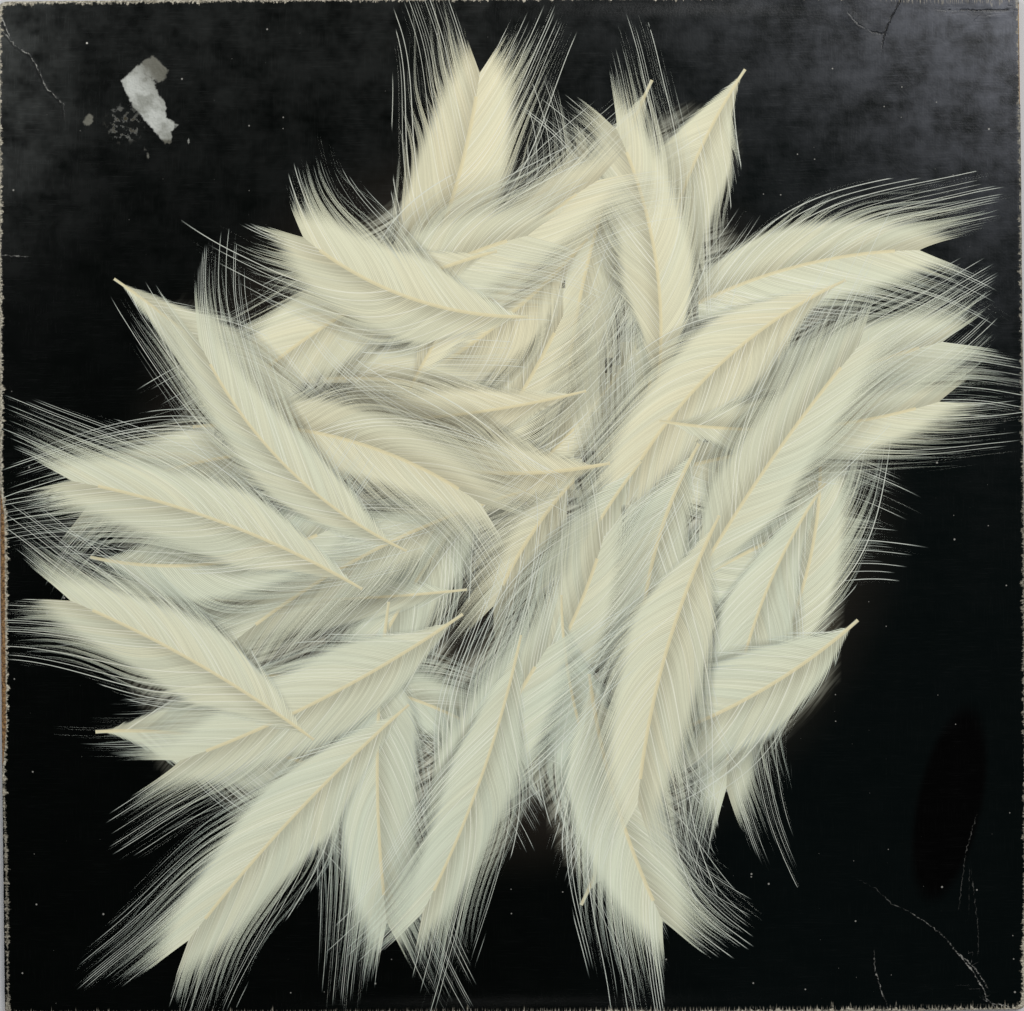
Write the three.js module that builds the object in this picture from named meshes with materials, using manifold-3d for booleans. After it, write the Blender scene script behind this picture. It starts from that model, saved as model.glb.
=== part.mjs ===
// A twelve-inch long-play record in its card sleeve, lying on its back with the front panel up.
//
// The sleeve is one folded chipboard pocket, closed along the spine (-X) and along the top and
// bottom edges (+Y and -Y), and open at the mouth (+X). A printed sheet of paper is pasted over the
// front and turned in round every edge, and a second sheet lines the back. Inside are a folded
// paper inner sleeve with round windows, and the pressed disc with its two paper labels. The card
// and the inner sleeve are parted at their folds, so that each panel is a solid of its own and the
// pocket between them is open. Millimetres, +Z up, origin on the resting face under the middle.

import * as THREE from "three";
import { mergeVertices } from "three/addons/utils/BufferGeometryUtils.js";
import Module from "manifold-3d";

const wasm = await Module();
wasm.setup();

// ---- Driving dimensions ----
const SLEEVE_WIDTH = 315; // spine to mouth, over the printed sheet
const SLEEVE_HEIGHT = 313; // top edge to bottom edge, over the printed sheet
const BOARD = 0.6; // chipboard
const WRAP = 0.2; // printed front sheet
const LINER = 0.2; // back sheet
const LEAF = 0.15; // inner sleeve paper
const PASTE = 0.05; // between two sheets that lie on each other, and at a parted fold
const TURN_IN = 14; // of the front sheet, round onto the back
const MOUTH_TURN_IN = 12; // of the front sheet, round into the pocket
const MOUTH_TURN_IN_END = 16; // the mouth's turn-in stops this far short of the closed edges
const LINER_MARGIN = 5; // of turned-in front sheet that the back sheet leaves showing

const DISC_RADIUS = 150.8;
const DISC_THICKNESS = 2.0; // over the labels and over the rim bead
const GROOVE_THICKNESS = 1.5;
const RIM_BEAD = 2.3; // width of the raised rim
const RIM_BEVEL = 0.7;
const LABEL_RADIUS = 50;
const LABEL = 0.15; // label paper
const LABEL_RING = 2; // raised vinyl ring round the label
const SPINDLE_RADIUS = 3.62;
const STEP_RUN = 1.8; // run of the slopes down to the grooves

const INNER_BACK = -155.5; // the inner sleeve's folded edge, close to the spine
const INNER_MOUTH = 151.5; // its open edge
const INNER_EDGE = 153.5; // its glued edges, either side of the middle
const WINDOW_RADIUS = 42;
const MOUTH_CORNER = 11; // cut off each corner of its open edge

// ---- Levels, upwards from the resting face ----
const turnInLevel = LINER + PASTE;
const boardLevel = turnInLevel + WRAP + PASTE;
const pocketFloor = boardLevel + BOARD;
const innerLevel = pocketFloor + PASTE;
const innerFloor = innerLevel + LEAF;
const discLevel = innerFloor + PASTE;
const innerCeiling = discLevel + DISC_THICKNESS + PASTE;
const pocketCeiling = innerCeiling + LEAF + PASTE + WRAP + PASTE;

// ---- The chipboard's outline, inside the printed sheet ----
const boardHalfWidth = SLEEVE_WIDTH / 2 - WRAP - PASTE;
const boardHalfHeight = SLEEVE_HEIGHT / 2 - WRAP - PASTE;
const spineInside = BOARD - boardHalfWidth;

// ---- Where the front bends down to the closed edges, as distances from the middle ----
const BEND_START = 151.6;
const BEND_END = 154.6;
const bendLevel = pocketFloor + 0.6; // the card's underside past the bend
const seamLevel = innerFloor + PASTE;
const SEAM_WIDTH = 0.25;

const LATHE_SEGMENTS = 72;
const FAR = 400; // further than everything, for solids that only cut

const paperWhite = new THREE.MeshStandardMaterial({ color: 0xe4ded0, roughness: 0.85, metalness: 0 });
const kraftBoard = new THREE.MeshStandardMaterial({ color: 0x86663f, roughness: 0.9, metalness: 0 });
const printedBlack = new THREE.MeshStandardMaterial({ color: 0x14181a, roughness: 0.42, metalness: 0 });
const linerCream = new THREE.MeshStandardMaterial({ color: 0xd8d0bc, roughness: 0.8, metalness: 0 });
const vinyl = new THREE.MeshStandardMaterial({ color: 0x0b0b0c, roughness: 0.2, metalness: 0 });
const labelPaper = new THREE.MeshStandardMaterial({ color: 0x5d7f86, roughness: 0.7, metalness: 0 });

/** The solid that a closed geometry bounds. */
function toSolid(geometry) {
  const bare = geometry.clone();
  bare.deleteAttribute("normal");
  bare.deleteAttribute("uv");
  const merged = mergeVertices(bare, 1e-4);
  return new wasm.Manifold(
    new wasm.Mesh({
      numProp: 3,
      vertProperties: merged.attributes.position.array,
      triVerts: new Uint32Array(merged.index.array),
    }),
  );
}

/** A geometry of a solid's surface. */
function toGeometry(solid) {
  const mesh = solid.getMesh();
  const geometry = new THREE.BufferGeometry();
  geometry.setAttribute("position", new THREE.BufferAttribute(mesh.vertProperties, 3));
  geometry.setIndex(new THREE.BufferAttribute(mesh.triVerts, 1));
  geometry.computeVertexNormals();
  return geometry;
}

/** A box between two corners. */
function box(low, high) {
  const size = high.map((value, axis) => value - low[axis]);
  const middle = high.map((value, axis) => (value + low[axis]) / 2);
  return new THREE.BoxGeometry(...size).translate(...middle);
}

/** A prism along X, from one place to another, of an outline given as [y, z] points. */
function prism(outline, fromX, toX) {
  const shape = new THREE.Shape(outline.map(([y, z]) => new THREE.Vector2(y, z)));
  const alongX = new THREE.Matrix4().makeBasis(
    new THREE.Vector3(0, 1, 0),
    new THREE.Vector3(0, 0, 1),
    new THREE.Vector3(1, 0, 0),
  );
  return new THREE.ExtrudeGeometry(shape, { depth: toX - fromX, bevelEnabled: false })
    .applyMatrix4(alongX)
    .translate(fromX, 0, 0);
}

/** An outline's half for y above 0, with its mirror image for y below 0. */
function bothSides(half) {
  return [...half, ...half.map(([y, z]) => [-y, z]).reverse()];
}

/** The sleeve's whole outside, inset from the printed sheet's, its top raised above the pocket by rise. */
function sleeveSolid(inset, bottom, rise) {
  const edge = SLEEVE_HEIGHT / 2 - inset;
  const outline = bothSides([
    [edge, bottom],
    [edge, bendLevel + rise],
    [BEND_END, bendLevel + rise],
    [BEND_START, pocketCeiling + rise],
  ]);
  return toSolid(prism(outline, inset - SLEEVE_WIDTH / 2, SLEEVE_WIDTH / 2 - inset));
}

/** The room in the card pocket, out through the mouth, its ceiling lowered by drop. */
function pocketSolid(drop, bottom) {
  const outline = bothSides([
    [BEND_END, bottom],
    [BEND_END, bendLevel - drop],
    [BEND_START, pocketCeiling - drop],
  ]);
  return toSolid(prism(outline, spineInside, FAR));
}

// ---- The chipboard, parted at its folds ----

/** The back panel, under the pocket. */
function makeBoardBack() {
  return box(
    [-boardHalfWidth, -boardHalfHeight, boardLevel],
    [boardHalfWidth, boardHalfHeight, pocketFloor],
  );
}

/** The front panel, over the pocket. */
function makeBoardFront() {
  const edge = BEND_START - PASTE;
  return box([-boardHalfWidth, -edge, pocketCeiling], [boardHalfWidth, edge, pocketCeiling + BOARD]);
}

/** The spine, between the two panels. */
function makeBoardSpine() {
  const edge = BEND_START - PASTE;
  return box(
    [-boardHalfWidth, -edge, pocketFloor + PASTE],
    [spineInside, edge, pocketCeiling - PASTE],
  );
}

/** The front panel's bend down to a closed edge, with its glued flap: side 1 on top, -1 below. */
function makeBoardFold(side) {
  const outline = [
    [BEND_START, pocketCeiling],
    [BEND_END, bendLevel],
    [BEND_END, pocketFloor + PASTE],
    [boardHalfHeight, pocketFloor + PASTE],
    [boardHalfHeight, bendLevel + BOARD],
    [BEND_END, bendLevel + BOARD],
    [BEND_START, pocketCeiling + BOARD],
  ];
  return prism(sideOutline(outline, side), -boardHalfWidth, boardHalfWidth);
}

/** An outline as it is for side 1, and its mirror image for side -1. */
function sideOutline(outline, side) {
  return side > 0 ? outline : outline.map(([y, z]) => [-y, z]).reverse();
}

/** The printed sheet: front panel, four folded edges, and the turn-ins on the back and in the mouth. */
function makeWrap() {
  const mouth = SLEEVE_WIDTH / 2;
  const edge = SLEEVE_HEIGHT / 2;
  const underBoard = boardLevel - PASTE;
  const around = sleeveSolid(0, turnInLevel, BOARD + PASTE + WRAP).subtract(
    sleeveSolid(WRAP, underBoard, BOARD + PASTE),
  );
  const backWindow = box([TURN_IN - mouth, TURN_IN - edge, -FAR], [FAR, edge - TURN_IN, boardLevel]);
  const backBoardEnd = box(
    [mouth - WRAP - PASTE, -BEND_END, -FAR],
    [FAR, BEND_END, pocketFloor + PASTE],
  );
  const turnInReach = box(
    [mouth - MOUTH_TURN_IN, MOUTH_TURN_IN_END - edge, -FAR],
    [mouth, edge - MOUTH_TURN_IN_END, FAR],
  );
  const mouthTurnIn = pocketSolid(PASTE, pocketFloor)
    .intersect(toSolid(turnInReach))
    .subtract(pocketSolid(PASTE + WRAP, -FAR));
  return around
    .subtract(toSolid(backWindow))
    .subtract(toSolid(backBoardEnd))
    .subtract(pocketSolid(PASTE + WRAP / 2, pocketFloor - PASTE))
    .add(mouthTurnIn);
}

/** The sheet pasted on the back, which the sleeve rests on. */
function makeLiner() {
  const halfWidth = SLEEVE_WIDTH / 2 - LINER_MARGIN;
  const halfHeight = SLEEVE_HEIGHT / 2 - LINER_MARGIN;
  return box([-halfWidth, -halfHeight, 0], [halfWidth, halfHeight, LINER]);
}

// ---- The inner sleeve, parted at its folds ----

/** A leaf with its round window, from bottom up, with the corners of its open edge cut off. */
function makeInnerLeaf(bottom, edge) {
  const outline = [
    [INNER_BACK, -edge],
    [INNER_MOUTH - MOUTH_CORNER, -edge],
    [INNER_MOUTH, MOUTH_CORNER - edge],
    [INNER_MOUTH, edge - MOUTH_CORNER],
    [INNER_MOUTH - MOUTH_CORNER, edge],
    [INNER_BACK, edge],
  ];
  const shape = new THREE.Shape(outline.map(([x, y]) => new THREE.Vector2(x, y)));
  shape.holes.push(new THREE.Path().absarc(0, 0, WINDOW_RADIUS, 0, 2 * Math.PI, true));
  const form = { depth: LEAF, bevelEnabled: false, curveSegments: LATHE_SEGMENTS };
  return new THREE.ExtrudeGeometry(shape, form).translate(0, 0, bottom);
}

/** The fold between the leaves, at the spine. */
function makeInnerFold() {
  return box(
    [INNER_BACK, -BEND_START, innerFloor + PASTE],
    [INNER_BACK + LEAF, BEND_START, innerCeiling - PASTE],
  );
}

/** A glued edge, down from the front leaf to the back leaf: side 1 on top, -1 below. */
function makeInnerSeam(side) {
  const outline = [
    [BEND_START, innerCeiling],
    [INNER_EDGE - SEAM_WIDTH, seamLevel],
    [INNER_EDGE, seamLevel],
    [INNER_EDGE, seamLevel + SEAM_WIDTH],
    [BEND_START, innerCeiling + LEAF],
  ];
  return prism(sideOutline(outline, side), INNER_BACK, INNER_MOUTH - MOUTH_CORNER);
}

/** A turned body from its half section, given as radius and height about the disc's middle plane. */
function turned(section) {
  const closed = [...section, section[0]].map(([radius, height]) => new THREE.Vector2(radius, height));
  const middle = discLevel + DISC_THICKNESS / 2;
  return new THREE.LatheGeometry(closed, LATHE_SEGMENTS).rotateX(Math.PI / 2).translate(0, 0, middle);
}

/** The pressed disc: spindle hole, sunk label seats, groove bands and a raised rim. */
function makeDisc() {
  const high = DISC_THICKNESS / 2;
  const low = GROOVE_THICKNESS / 2;
  const seat = high - LABEL - PASTE;
  const ringInner = LABEL_RADIUS + PASTE;
  const ringOuter = ringInner + LABEL_RING;
  const beadInner = DISC_RADIUS - RIM_BEAD;
  const upper = [
    [SPINDLE_RADIUS, seat],
    [ringInner, seat],
    [ringInner, high],
    [ringOuter, high],
    [ringOuter + STEP_RUN, low],
    [beadInner - STEP_RUN, low],
    [beadInner, high],
    [DISC_RADIUS - RIM_BEVEL, high],
    [DISC_RADIUS, 0],
  ];
  const lower = upper.slice(0, -1).map(([radius, height]) => [radius, -height]);
  return turned([...lower, ...upper.reverse()]);
}

/** A paper label, above the disc's middle plane for side 1 and below it for side -1. */
function makeLabel(side) {
  const outer = (side * DISC_THICKNESS) / 2;
  const [low, high] = [outer, outer - side * LABEL].sort((a, b) => a - b);
  return turned([
    [SPINDLE_RADIUS, low],
    [LABEL_RADIUS, low],
    [LABEL_RADIUS, high],
    [SPINDLE_RADIUS, high],
  ]);
}

const sleeve = new THREE.Group();

function addPiece(name, geometry, material) {
  const mesh = new THREE.Mesh(geometry, material);
  mesh.name = name;
  sleeve.add(mesh);
}

addPiece("board_back", makeBoardBack(), kraftBoard);
addPiece("board_front", makeBoardFront(), kraftBoard);
addPiece("board_spine", makeBoardSpine(), kraftBoard);
addPiece("board_top_fold", makeBoardFold(1), kraftBoard);
addPiece("board_bottom_fold", makeBoardFold(-1), kraftBoard);
addPiece("front_wrap", toGeometry(makeWrap()), printedBlack);
addPiece("back_liner", makeLiner(), linerCream);
addPiece("inner_back_leaf", makeInnerLeaf(innerLevel, INNER_EDGE), paperWhite);
addPiece("inner_front_leaf", makeInnerLeaf(innerCeiling, BEND_START - PASTE), paperWhite);
addPiece("inner_fold", makeInnerFold(), paperWhite);
addPiece("inner_top_seam", makeInnerSeam(1), paperWhite);
addPiece("inner_bottom_seam", makeInnerSeam(-1), paperWhite);
addPiece("record_disc", makeDisc(), vinyl);
addPiece("label_front", makeLabel(1), labelPaper);
addPiece("label_back", makeLabel(-1), labelPaper);

export default sleeve;
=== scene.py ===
"""The looks of a worn record sleeve: its printed front, card, back sheet, inner sleeve and disc."""

import logging
import math
from contextlib import contextmanager
from dataclasses import dataclass, replace
from enum import Enum
from typing import Callable, ClassVar, Iterator

import bmesh
import bpy
import numpy as np
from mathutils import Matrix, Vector


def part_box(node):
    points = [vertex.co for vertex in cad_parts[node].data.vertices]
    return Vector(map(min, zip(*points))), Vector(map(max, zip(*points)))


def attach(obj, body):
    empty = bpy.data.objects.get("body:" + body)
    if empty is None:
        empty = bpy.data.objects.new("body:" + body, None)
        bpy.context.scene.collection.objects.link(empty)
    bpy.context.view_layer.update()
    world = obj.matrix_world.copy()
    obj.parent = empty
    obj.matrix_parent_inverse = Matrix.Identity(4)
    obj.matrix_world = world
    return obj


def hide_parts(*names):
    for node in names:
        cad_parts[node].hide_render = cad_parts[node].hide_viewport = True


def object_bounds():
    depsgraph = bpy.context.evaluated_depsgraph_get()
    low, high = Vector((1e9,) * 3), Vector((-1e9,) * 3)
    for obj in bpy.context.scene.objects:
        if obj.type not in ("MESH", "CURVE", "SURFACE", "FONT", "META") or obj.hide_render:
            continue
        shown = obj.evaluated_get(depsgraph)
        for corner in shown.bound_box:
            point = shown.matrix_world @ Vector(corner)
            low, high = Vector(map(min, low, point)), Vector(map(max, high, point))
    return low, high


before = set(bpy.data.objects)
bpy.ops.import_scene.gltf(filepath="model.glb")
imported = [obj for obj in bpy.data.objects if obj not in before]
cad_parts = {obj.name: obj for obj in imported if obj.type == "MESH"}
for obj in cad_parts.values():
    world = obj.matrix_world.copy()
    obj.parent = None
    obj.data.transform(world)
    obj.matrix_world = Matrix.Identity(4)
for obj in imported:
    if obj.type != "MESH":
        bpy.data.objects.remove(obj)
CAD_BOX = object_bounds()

logging.basicConfig(level=logging.INFO, format="%(message)s")
log = logging.getLogger("record_sleeve")

MM = 0.001
BODY = "root"
COPY_STEP = 1e-5
SLACK = 0.01 * MM


# ---- Node trees


Rgba = tuple[float, float, float, float]


def linear(value: int) -> float:
    """A display value from 0 to 255 as a linear one from 0 to 1."""
    share = value / 255
    return share / 12.92 if share <= 0.04045 else ((share + 0.055) / 1.055) ** 2.4


def srgb(red: int, green: int, blue: int) -> Rgba:
    """A linear colour with alpha, from display values from 0 to 255."""
    return (linear(red), linear(green), linear(blue), 1.0)


class Term:
    """A node's output that can be used in arithmetic, which adds Math nodes to its tree."""

    def __init__(self, graph: "Graph", socket: bpy.types.NodeSocket) -> None:
        """Keeps a node's output and the graph that it is in."""
        self.graph = graph
        self.socket = socket

    def factors(self, sign: int = 1) -> "tuple[Term | float, Term | float] | None":
        """The two factors of a product, or None.

        Args:
            sign: -1 to turn the product's sign, which needs a constant factor.

        Returns:
            The factors, with the constant one last if there is one.
        """
        node = self.socket.node
        if node.type != "MATH" or node.operation != "MULTIPLY":
            return None
        found = [
            Term(self.graph, end.links[0].from_socket) if end.is_linked else end.default_value
            for end in node.inputs[:2]
        ]
        first, last = sorted(found, key=lambda factor: not isinstance(factor, Term))
        if sign < 0:
            return None if isinstance(last, Term) else (first, -last)
        return first, last

    def __add__(self, other: "Term | float") -> "Term":
        """Adds, in one Multiply Add node where either side is a product.

        Args:
            other: What is added.

        Returns:
            The sum.
        """
        for product, rest in ((self, other), (other, self)):
            factors = product.factors() if isinstance(product, Term) else None
            if factors:
                return self.graph.math("MULTIPLY_ADD", *factors, rest)
        return self.graph.math("ADD", self, other)

    def __sub__(self, other: "Term | float") -> "Term":
        """Subtracts, in one Multiply Add node where the other is a product with a constant.

        Args:
            other: What is taken away.

        Returns:
            The difference.
        """
        if not isinstance(other, Term):
            return self + -other
        factors = other.factors(sign=-1)
        if factors:
            return self.graph.math("MULTIPLY_ADD", *factors, self)
        return self.graph.math("SUBTRACT", self, other)

    def __rsub__(self, other: float) -> "Term":
        """Subtracts it from a constant.

        Args:
            other: The constant.

        Returns:
            The difference.
        """
        factors = self.factors(sign=-1)
        if factors:
            return self.graph.math("MULTIPLY_ADD", *factors, other)
        return self.graph.math("SUBTRACT", other, self)

    def __mul__(self, other: "Term | float") -> "Term":
        """The product."""
        return self.graph.math("MULTIPLY", self, other)

    def __truediv__(self, other: "Term | float") -> "Term":
        """The quotient."""
        return self.graph.math("DIVIDE", self, other)

    __radd__ = __add__
    __rmul__ = __mul__

    def abs(self) -> "Term":
        """Its size without its sign."""
        return self.graph.math("ABSOLUTE", self)

    def floor(self) -> "Term":
        """The whole number below it."""
        return self.graph.math("FLOOR", self)

    def fract(self) -> "Term":
        """Its part above the whole number below it."""
        return self.graph.math("FRACT", self)

    def wave(self) -> "Term":
        """0 at each whole number and 1 half-way between, in straight lines."""
        return self.graph.math("PINGPONG", self, 0.5) * 2.0

    def power(self, exponent: float) -> "Term":
        """It raised to a power."""
        return self.graph.math("POWER", self, exponent)

    def lowest(self, other: "Term | float") -> "Term":
        """The smaller of two values."""
        return self.graph.math("MINIMUM", self, other)

    def highest(self, other: "Term | float") -> "Term":
        """The larger of two values."""
        return self.graph.math("MAXIMUM", self, other)

    def below(self, limit: "Term | float") -> "Term":
        """1 where it is under a limit, else 0."""
        return self.graph.math("LESS_THAN", self, limit)

    def above(self, limit: "Term | float") -> "Term":
        """1 where it is over a limit, else 0."""
        return self.graph.math("GREATER_THAN", self, limit)

    def ramp(self, low: "Term | float", high: "Term | float") -> "Term":
        """A smooth step from 0 at low to 1 at high.

        Args:
            low: Value that gives 0.
            high: Value that gives 1, which may be the smaller of the two.

        Returns:
            The step.
        """
        node = self.graph.node("ShaderNodeMapRange", interpolation_type="SMOOTHSTEP")
        for socket, value in zip(node.inputs, (self, low, high, 0.0, 1.0)):
            self.graph.feed(socket, value)
        return Term(self.graph, node.outputs["Result"])

    def mixed(self, low: float, high: float) -> "Term":
        """low where it is 0 and high where it is 1, in a straight line between."""
        return self * (high - low) + low


Value = Term | float
Colour = Term | Rgba
Plan = tuple[float, float]
Triple = tuple[float, float, float]


class Graph:
    """A node tree under construction."""

    def __init__(self, tree: bpy.types.NodeTree) -> None:
        """Keeps the tree that the nodes go into."""
        self.tree = tree

    def node(self, kind: str, **settings: object) -> bpy.types.Node:
        """Adds a node.

        Args:
            kind: The node's type.
            settings: Properties to set on it.

        Returns:
            The node.
        """
        made = self.tree.nodes.new(kind)
        for name, value in settings.items():
            setattr(made, name, value)
        return made

    def feed(self, socket: bpy.types.NodeSocket, value: object) -> None:
        """Links a term to a socket, or sets the socket to a constant.

        Args:
            socket: A node's input.
            value: The term or the constant.
        """
        if isinstance(value, Term):
            self.tree.links.new(value.socket, socket)
        else:
            socket.default_value = value

    def math(self, operation: str, *values: Value) -> Term:
        """Adds a Math node.

        Args:
            operation: What the node does.
            values: What it works on.

        Returns:
            Its result.
        """
        made = self.node("ShaderNodeMath", operation=operation)
        for socket, value in zip(made.inputs, values):
            self.feed(socket, value)
        return Term(self, made.outputs[0])

    def mix(self, share: Value, first: Colour, second: Colour) -> Term:
        """Mixes two colours.

        Args:
            share: 0 for the first colour, 1 for the second.
            first: The colour underneath.
            second: The colour on top.

        Returns:
            The mixed colour.
        """
        made = self.node("ShaderNodeMix", data_type="RGBA", clamp_factor=True)
        for index, value in ((0, share), (6, first), (7, second)):
            self.feed(made.inputs[index], value)
        return Term(self, made.outputs[2])

    def dim(self, colour: Colour, share: Value) -> Term:
        """A colour made darker, to nothing where share is 1."""
        return self.mix(share, colour, (0.0, 0.0, 0.0, 1.0))

    def split(self, vector: Term) -> tuple[Term, Term, Term]:
        """Takes a vector apart.

        Args:
            vector: The vector.

        Returns:
            Its X, Y and Z.
        """
        made = self.node("ShaderNodeSeparateXYZ")
        self.feed(made.inputs[0], vector)
        return tuple(Term(self, socket) for socket in made.outputs)

    def join(self, x: Value, y: Value) -> Term:
        """Makes a flat vector.

        Args:
            x: Its X.
            y: Its Y.

        Returns:
            The vector, with a Z of 0.
        """
        made = self.node("ShaderNodeCombineXYZ")
        for socket, value in zip(made.inputs, (x, y)):
            self.feed(socket, value)
        return Term(self, made.outputs[0])

    def noise(self, vector: Term, scale: float = 1.0, detail: float = 0.0, rough: float = 0.5) -> Term:
        """Soft flat noise about 0.5.

        Args:
            vector: Where to read it, of which X and Y count.
            scale: How many features to a unit.
            detail: Octaves beyond the first.
            rough: Strength of each finer octave.

        Returns:
            The noise.
        """
        made = self.node("ShaderNodeTexNoise", noise_dimensions="2D")
        self.feed(made.inputs["Vector"], vector)
        for name, value in (("Scale", scale), ("Detail", detail), ("Roughness", rough)):
            made.inputs[name].default_value = value
        return Term(self, made.outputs["Fac"])

    def chance(self, x: Value, y: Value) -> Term:
        """An even random number from 0 to 1 for each pair of numbers.

        Args:
            x: The first of the pair.
            y: The second.

        Returns:
            The random number.
        """
        made = self.node("ShaderNodeTexWhiteNoise", noise_dimensions="2D")
        self.feed(made.inputs["Vector"], self.join(x, y))
        return Term(self, made.outputs["Value"])

    def specks(self, vector: Term, scale: float) -> tuple[Term, Term]:
        """Scattered points.

        Args:
            vector: Where to read them.
            scale: Points to a unit.

        Returns:
            The distance to the nearest point, and a random number for that point.
        """
        made = self.node("ShaderNodeTexVoronoi", voronoi_dimensions="2D")
        self.feed(made.inputs["Vector"], vector)
        made.inputs["Scale"].default_value = scale
        luck, _, _ = self.split(Term(self, made.outputs["Color"]))
        return Term(self, made.outputs["Distance"]), luck

    def attribute(self, name: str) -> Term:
        """A vector kept on the piece's mesh."""
        made = self.node("ShaderNodeAttribute", attribute_name=name)
        return Term(self, made.outputs["Vector"])

    def number(self, name: str) -> Term:
        """A number kept on the piece's mesh."""
        made = self.node("ShaderNodeAttribute", attribute_name=name)
        return Term(self, made.outputs["Fac"])

    def place(self) -> Term:
        """Reads the point on the piece, in millimetres.

        Returns:
            The point, as a vector.
        """
        made = self.node("ShaderNodeTexCoord")
        scaled = self.node("ShaderNodeVectorMath", operation="SCALE")
        self.feed(scaled.inputs[0], Term(self, made.outputs["Object"]))
        scaled.inputs["Scale"].default_value = 1 / MM
        return Term(self, scaled.outputs[0])

    def spread(self, place: Term) -> Term:
        """A point's X and Y, moved on by its height so that flat noise also varies down a wall."""
        x, y, z = self.split(place)
        return self.join(x + z * 1.3, y + z * 0.7)

    def plan(self) -> tuple[Term, Term, Term]:
        """Reads the point on the piece, seen from above.

        Returns:
            Its X, its Y, and the vector that flat noise reads.
        """
        place = self.place()
        x, y, _ = self.split(place)
        return x, y, self.spread(place)

    def apart(self, x: Term, y: Term, centre: Plan = (0.0, 0.0)) -> Term:
        """How far a point in plan lies from a centre."""
        across, up = x - centre[0], y - centre[1]
        return (across * across + up * up).power(0.5)

    def stretched(self, vector: Term, x: float, y: float) -> Term:
        """Scales a vector in plan.

        Args:
            vector: The vector.
            x: What its X is multiplied by.
            y: What its Y is multiplied by.

        Returns:
            The scaled vector.
        """
        made = self.node("ShaderNodeVectorMath", operation="MULTIPLY")
        self.feed(made.inputs[0], vector)
        made.inputs[1].default_value = (x, y, 1.0)
        return Term(self, made.outputs[0])

    def prune(self) -> None:
        """Removes the nodes that feed nothing."""
        ends = {"OUTPUT_MATERIAL", "GROUP_OUTPUT"}
        idle = True
        while idle:
            used = {link.from_node.name for link in self.tree.links}
            idle = [node for node in self.tree.nodes if node.type not in ends and node.name not in used]
            for node in idle:
                self.tree.nodes.remove(node)

    def group(self, tree: bpy.types.NodeTree, **inputs: object) -> dict[str, Term]:
        """Places a group.

        Args:
            tree: The group.
            inputs: What feeds it, by socket name.

        Returns:
            Its outputs by name.
        """
        made = self.node("ShaderNodeGroup", node_tree=tree)
        for name, value in inputs.items():
            self.feed(made.inputs[name], value)
        return {socket.name: Term(self, socket) for socket in made.outputs}


class Kind(Enum):
    """What a group's socket carries."""

    NUMBER = "NodeSocketFloat"
    VECTOR = "NodeSocketVector"
    COLOUR = "NodeSocketColor"


def new_group(
    name: str, inputs: dict[str, Kind], outputs: dict[str, Kind]
) -> tuple[Graph, dict[str, Term]]:
    """Starts a node group.

    Args:
        name: Its name.
        inputs: Its inputs by name.
        outputs: Its outputs by name.

    Returns:
        Its graph, and its inputs as terms.
    """
    tree = bpy.data.node_groups.new(name, "ShaderNodeTree")
    for direction, sockets in (("INPUT", inputs), ("OUTPUT", outputs)):
        for label, kind in sockets.items():
            tree.interface.new_socket(name=label, in_out=direction, socket_type=kind.value)
    graph = Graph(tree)
    entry = graph.node("NodeGroupInput")
    return graph, {socket.name: Term(graph, socket) for socket in entry.outputs if socket.name}


def close_group(graph: Graph, **outputs: Term) -> bpy.types.NodeTree:
    """Ends a node group.

    Args:
        graph: The group's graph.
        outputs: What feeds each output, by name.

    Returns:
        The group.
    """
    leave = graph.node("NodeGroupOutput")
    for name, value in outputs.items():
        graph.feed(leave.inputs[name], value)
    graph.prune()
    return graph.tree


@dataclass
class Surface:
    """What a finish gives its shader: a colour, a roughness and a height in millimetres.

    Others are (mask, surface) pairs, each of which takes over where its mask is 1.
    """

    colour: Term
    roughness: Value
    height: Term
    bump: float = 1.0
    others: tuple[tuple[Term, "Surface"], ...] = ()


def new_material(name: str, specular: float, dress: Callable[[Graph], Surface]) -> bpy.types.Material:
    """Makes a material.

    Args:
        name: Its name.
        specular: The shader's specular level.
        dress: Builds the nodes and gives the surface.

    Returns:
        The material.
    """
    material = bpy.data.materials.new(name)
    material.use_nodes = True
    graph = Graph(material.node_tree)
    material.node_tree.nodes.remove(material.node_tree.nodes["Principled BSDF"])

    def shader(surface: Surface) -> Term:
        """Adds the shader of one surface.

        Args:
            surface: What it shows.

        Returns:
            The shader's output.
        """
        bump = graph.node("ShaderNodeBump")
        bump.inputs["Strength"].default_value = surface.bump
        bump.inputs["Distance"].default_value = MM
        graph.feed(bump.inputs["Height"], surface.height)
        principled = graph.node("ShaderNodeBsdfPrincipled")
        principled.inputs["Specular IOR Level"].default_value = specular
        graph.feed(principled.inputs["Base Color"], surface.colour)
        graph.feed(principled.inputs["Roughness"], surface.roughness)
        graph.feed(principled.inputs["Normal"], Term(graph, bump.outputs["Normal"]))
        return Term(graph, principled.outputs["BSDF"])

    surface = dress(graph)
    shown = shader(surface)
    for mask, other in surface.others:
        mixer = graph.node("ShaderNodeMixShader")
        for socket, value in zip(mixer.inputs, (mask, shown, shader(other))):
            graph.feed(socket, value)
        shown = Term(graph, mixer.outputs[0])
    graph.feed(material.node_tree.nodes["Material Output"].inputs["Surface"], shown)
    graph.prune()
    return material


# ---- Modelling


def select_only(piece: bpy.types.Object) -> None:
    """Selects one piece alone, and makes it the active one.

    Args:
        piece: The piece.
    """
    bpy.ops.object.select_all(action="DESELECT")
    piece.select_set(True)
    bpy.context.view_layer.objects.active = piece


@contextmanager
def editing(piece: bpy.types.Object) -> Iterator[None]:
    """Edit mode on one piece, with nothing selected in it at the start.

    Args:
        piece: The piece.

    Yields:
        Nothing.
    """
    select_only(piece)
    bpy.ops.object.mode_set(mode="EDIT")
    bpy.ops.mesh.select_all(action="DESELECT")
    yield
    bpy.ops.object.mode_set(mode="OBJECT")


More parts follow.
